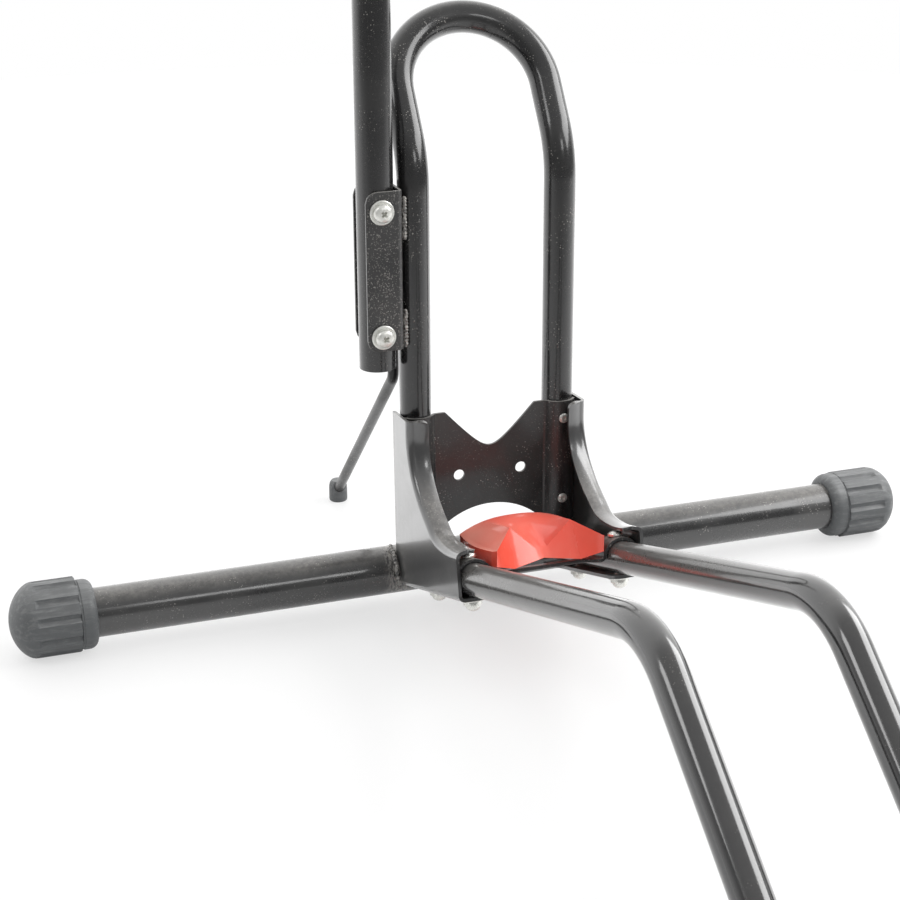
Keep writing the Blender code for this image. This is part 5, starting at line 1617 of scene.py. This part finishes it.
class BuildStudio(StandPiece, bpy.types.Operator):
    """Set up the floor, the light and the camera"""

    bl_idname = "stand.studio"
    bl_label = "Studio"

    def execute(self, context):
        (studio,) = groups("studio")
        self.floor(studio)
        self.surround(context.scene, studio)
        for name, power, place, target, size in LAMPS:
            self.lamp(name, getattr(studio, power), Vector(place), Vector(target), size)
        camera = bpy.data.cameras.new("photo_view")
        camera.lens = studio.lens
        camera.sensor_width = SENSOR
        camera.clip_end = 100
        view = bpy.data.objects.new("photo_view", camera)
        view.location = (studio.camera_x, studio.camera_y, studio.camera_z)
        view.rotation_euler = (studio.camera_tilt, studio.camera_roll, studio.camera_turn)
        context.scene.collection.objects.link(view)
        context.scene.camera = view
        context.scene.view_settings.view_transform = "Standard"
        return {"FINISHED"}

    def floor(self, studio):
        """A round floor that fades into the white surround where the camera looks at its edge."""
        bm = bmesh.new()
        bmesh.ops.create_circle(bm, cap_ends=True, radius=studio.floor_radius, segments=ROUND)
        floor = new_object("studio_floor", bm)
        finish = Finish("pale_floor")
        seen = finish.ray("Camera")
        reach = finish.node("ShaderNodeVectorMath", {"operation": "LENGTH"}, {0: finish.place}, "Value")
        lift = (reach.span(0.7, 1.7) * (1.0 - studio.lift) + studio.lift) * seen
        ahead = finish.part(finish.place, "Y")
        # Painted shade: rays other than the camera's find the floor's front part darker, so the stand
        # catches and reflects less light from it.
        front = (0.0 - ahead).span(0.15, 1.0) * (0.55 - seen * 0.55)
        # Painted reflection: glossy rays see the floor behind the stand glow white.
        painted_floor_glow = finish.ray("Glossy") * ahead.span(-0.1, 0.5) * 0.5
        black, white = (0.0, 0.0, 0.0), (1.0, 1.0, 1.0)
        floor.data.materials.append(finish.done(
            base_color=finish.mix(lift.either(front), studio.floor, black), roughness=0.6,
            emission_color=finish.mix(lift.either(painted_floor_glow), black, white), emission_strength=1.0))

    def surround(self, scene, studio):
        """White to the camera. Other rays meet a pale back wall, a pale ceiling and a dim front."""
        world = bpy.data.worlds.new("pale_surround")
        world.use_nodes = True
        background = world.node_tree.nodes["Background"]
        sky = NodeMaker(world.node_tree)
        direction = sky.node("ShaderNodeTexCoord", {}, {}, "Generated")
        behind = sky.part(direction, "Y").span(-0.15, 0.55) * (studio.back - studio.room)
        above = sky.part(direction, "Z").span(0.25, 0.95) * (studio.zenith - studio.room)
        seen = sky.ray("Camera")
        sky.feed(background.inputs["Color"], (behind.either(above) + studio.room) * (1.0 - seen) + seen)
        background.inputs["Strength"].default_value = 1.0
        scene.world = world

    def lamp(self, name, power, place, target, size):
        """A flat lamp turned to its target."""
        light = bpy.data.lights.new(name, "AREA")
        light.shape = "RECTANGLE"
        light.size, light.size_y = size
        light.energy = power
        obj = bpy.data.objects.new(name, light)
        obj.location = place
        obj.rotation_euler = (target - place).to_track_quat("-Z", "Y").to_euler()
        bpy.context.scene.collection.objects.link(obj)


GROUPS = {
    "stand_tubes": TubeSizes,
    "stand_sheets": SheetSizes,
    "stand_caps": CapSizes,
    "stand_saddle": SaddleSizes,
    "stand_fasteners": FastenerSizes,
    "stand_leg": LegSizes,
    "stand_finishes": Finishes,
    "stand_studio": Studio,
}
PIECES = (BuildCrossTube, BuildCaps, BuildBrackets, BuildPlate, BuildUpperHoop, BuildLowerHoop,
          BuildStraps, BuildRailFasteners, BuildPlateScrews, BuildSaddle, BuildClamp, BuildPost,
          BuildClampFasteners, BuildLeg, BuildWelds, BuildStudio)


class StandPanel(bpy.types.Panel):
    """Lists the pieces of the stand"""

    bl_idname = "VIEW3D_PT_bike_stand"
    bl_label = "Bike stand"
    bl_space_type = "VIEW_3D"
    bl_region_type = "UI"
    bl_category = "Bike stand"

    def draw(self, context):
        for piece in PIECES:
            self.layout.operator(piece.bl_idname)


def register():
    for name, group in GROUPS.items():
        bpy.utils.register_class(group)
        setattr(bpy.types.Scene, name, bpy.props.PointerProperty(type=group))
    for cls in (*PIECES, StandPanel):
        bpy.utils.register_class(cls)


def unregister():
    for cls in (StandPanel, *reversed(PIECES)):
        bpy.utils.unregister_class(cls)
    for name, group in GROUPS.items():
        delattr(bpy.types.Scene, name)
        bpy.utils.unregister_class(group)


def main():
    register()
    noise.seed_set(NOISE_SEED)
    for piece in PIECES:
        group, name = piece.bl_idname.split(".")
        getattr(getattr(bpy.ops, group), name)()


if __name__ == "__main__":
    main()
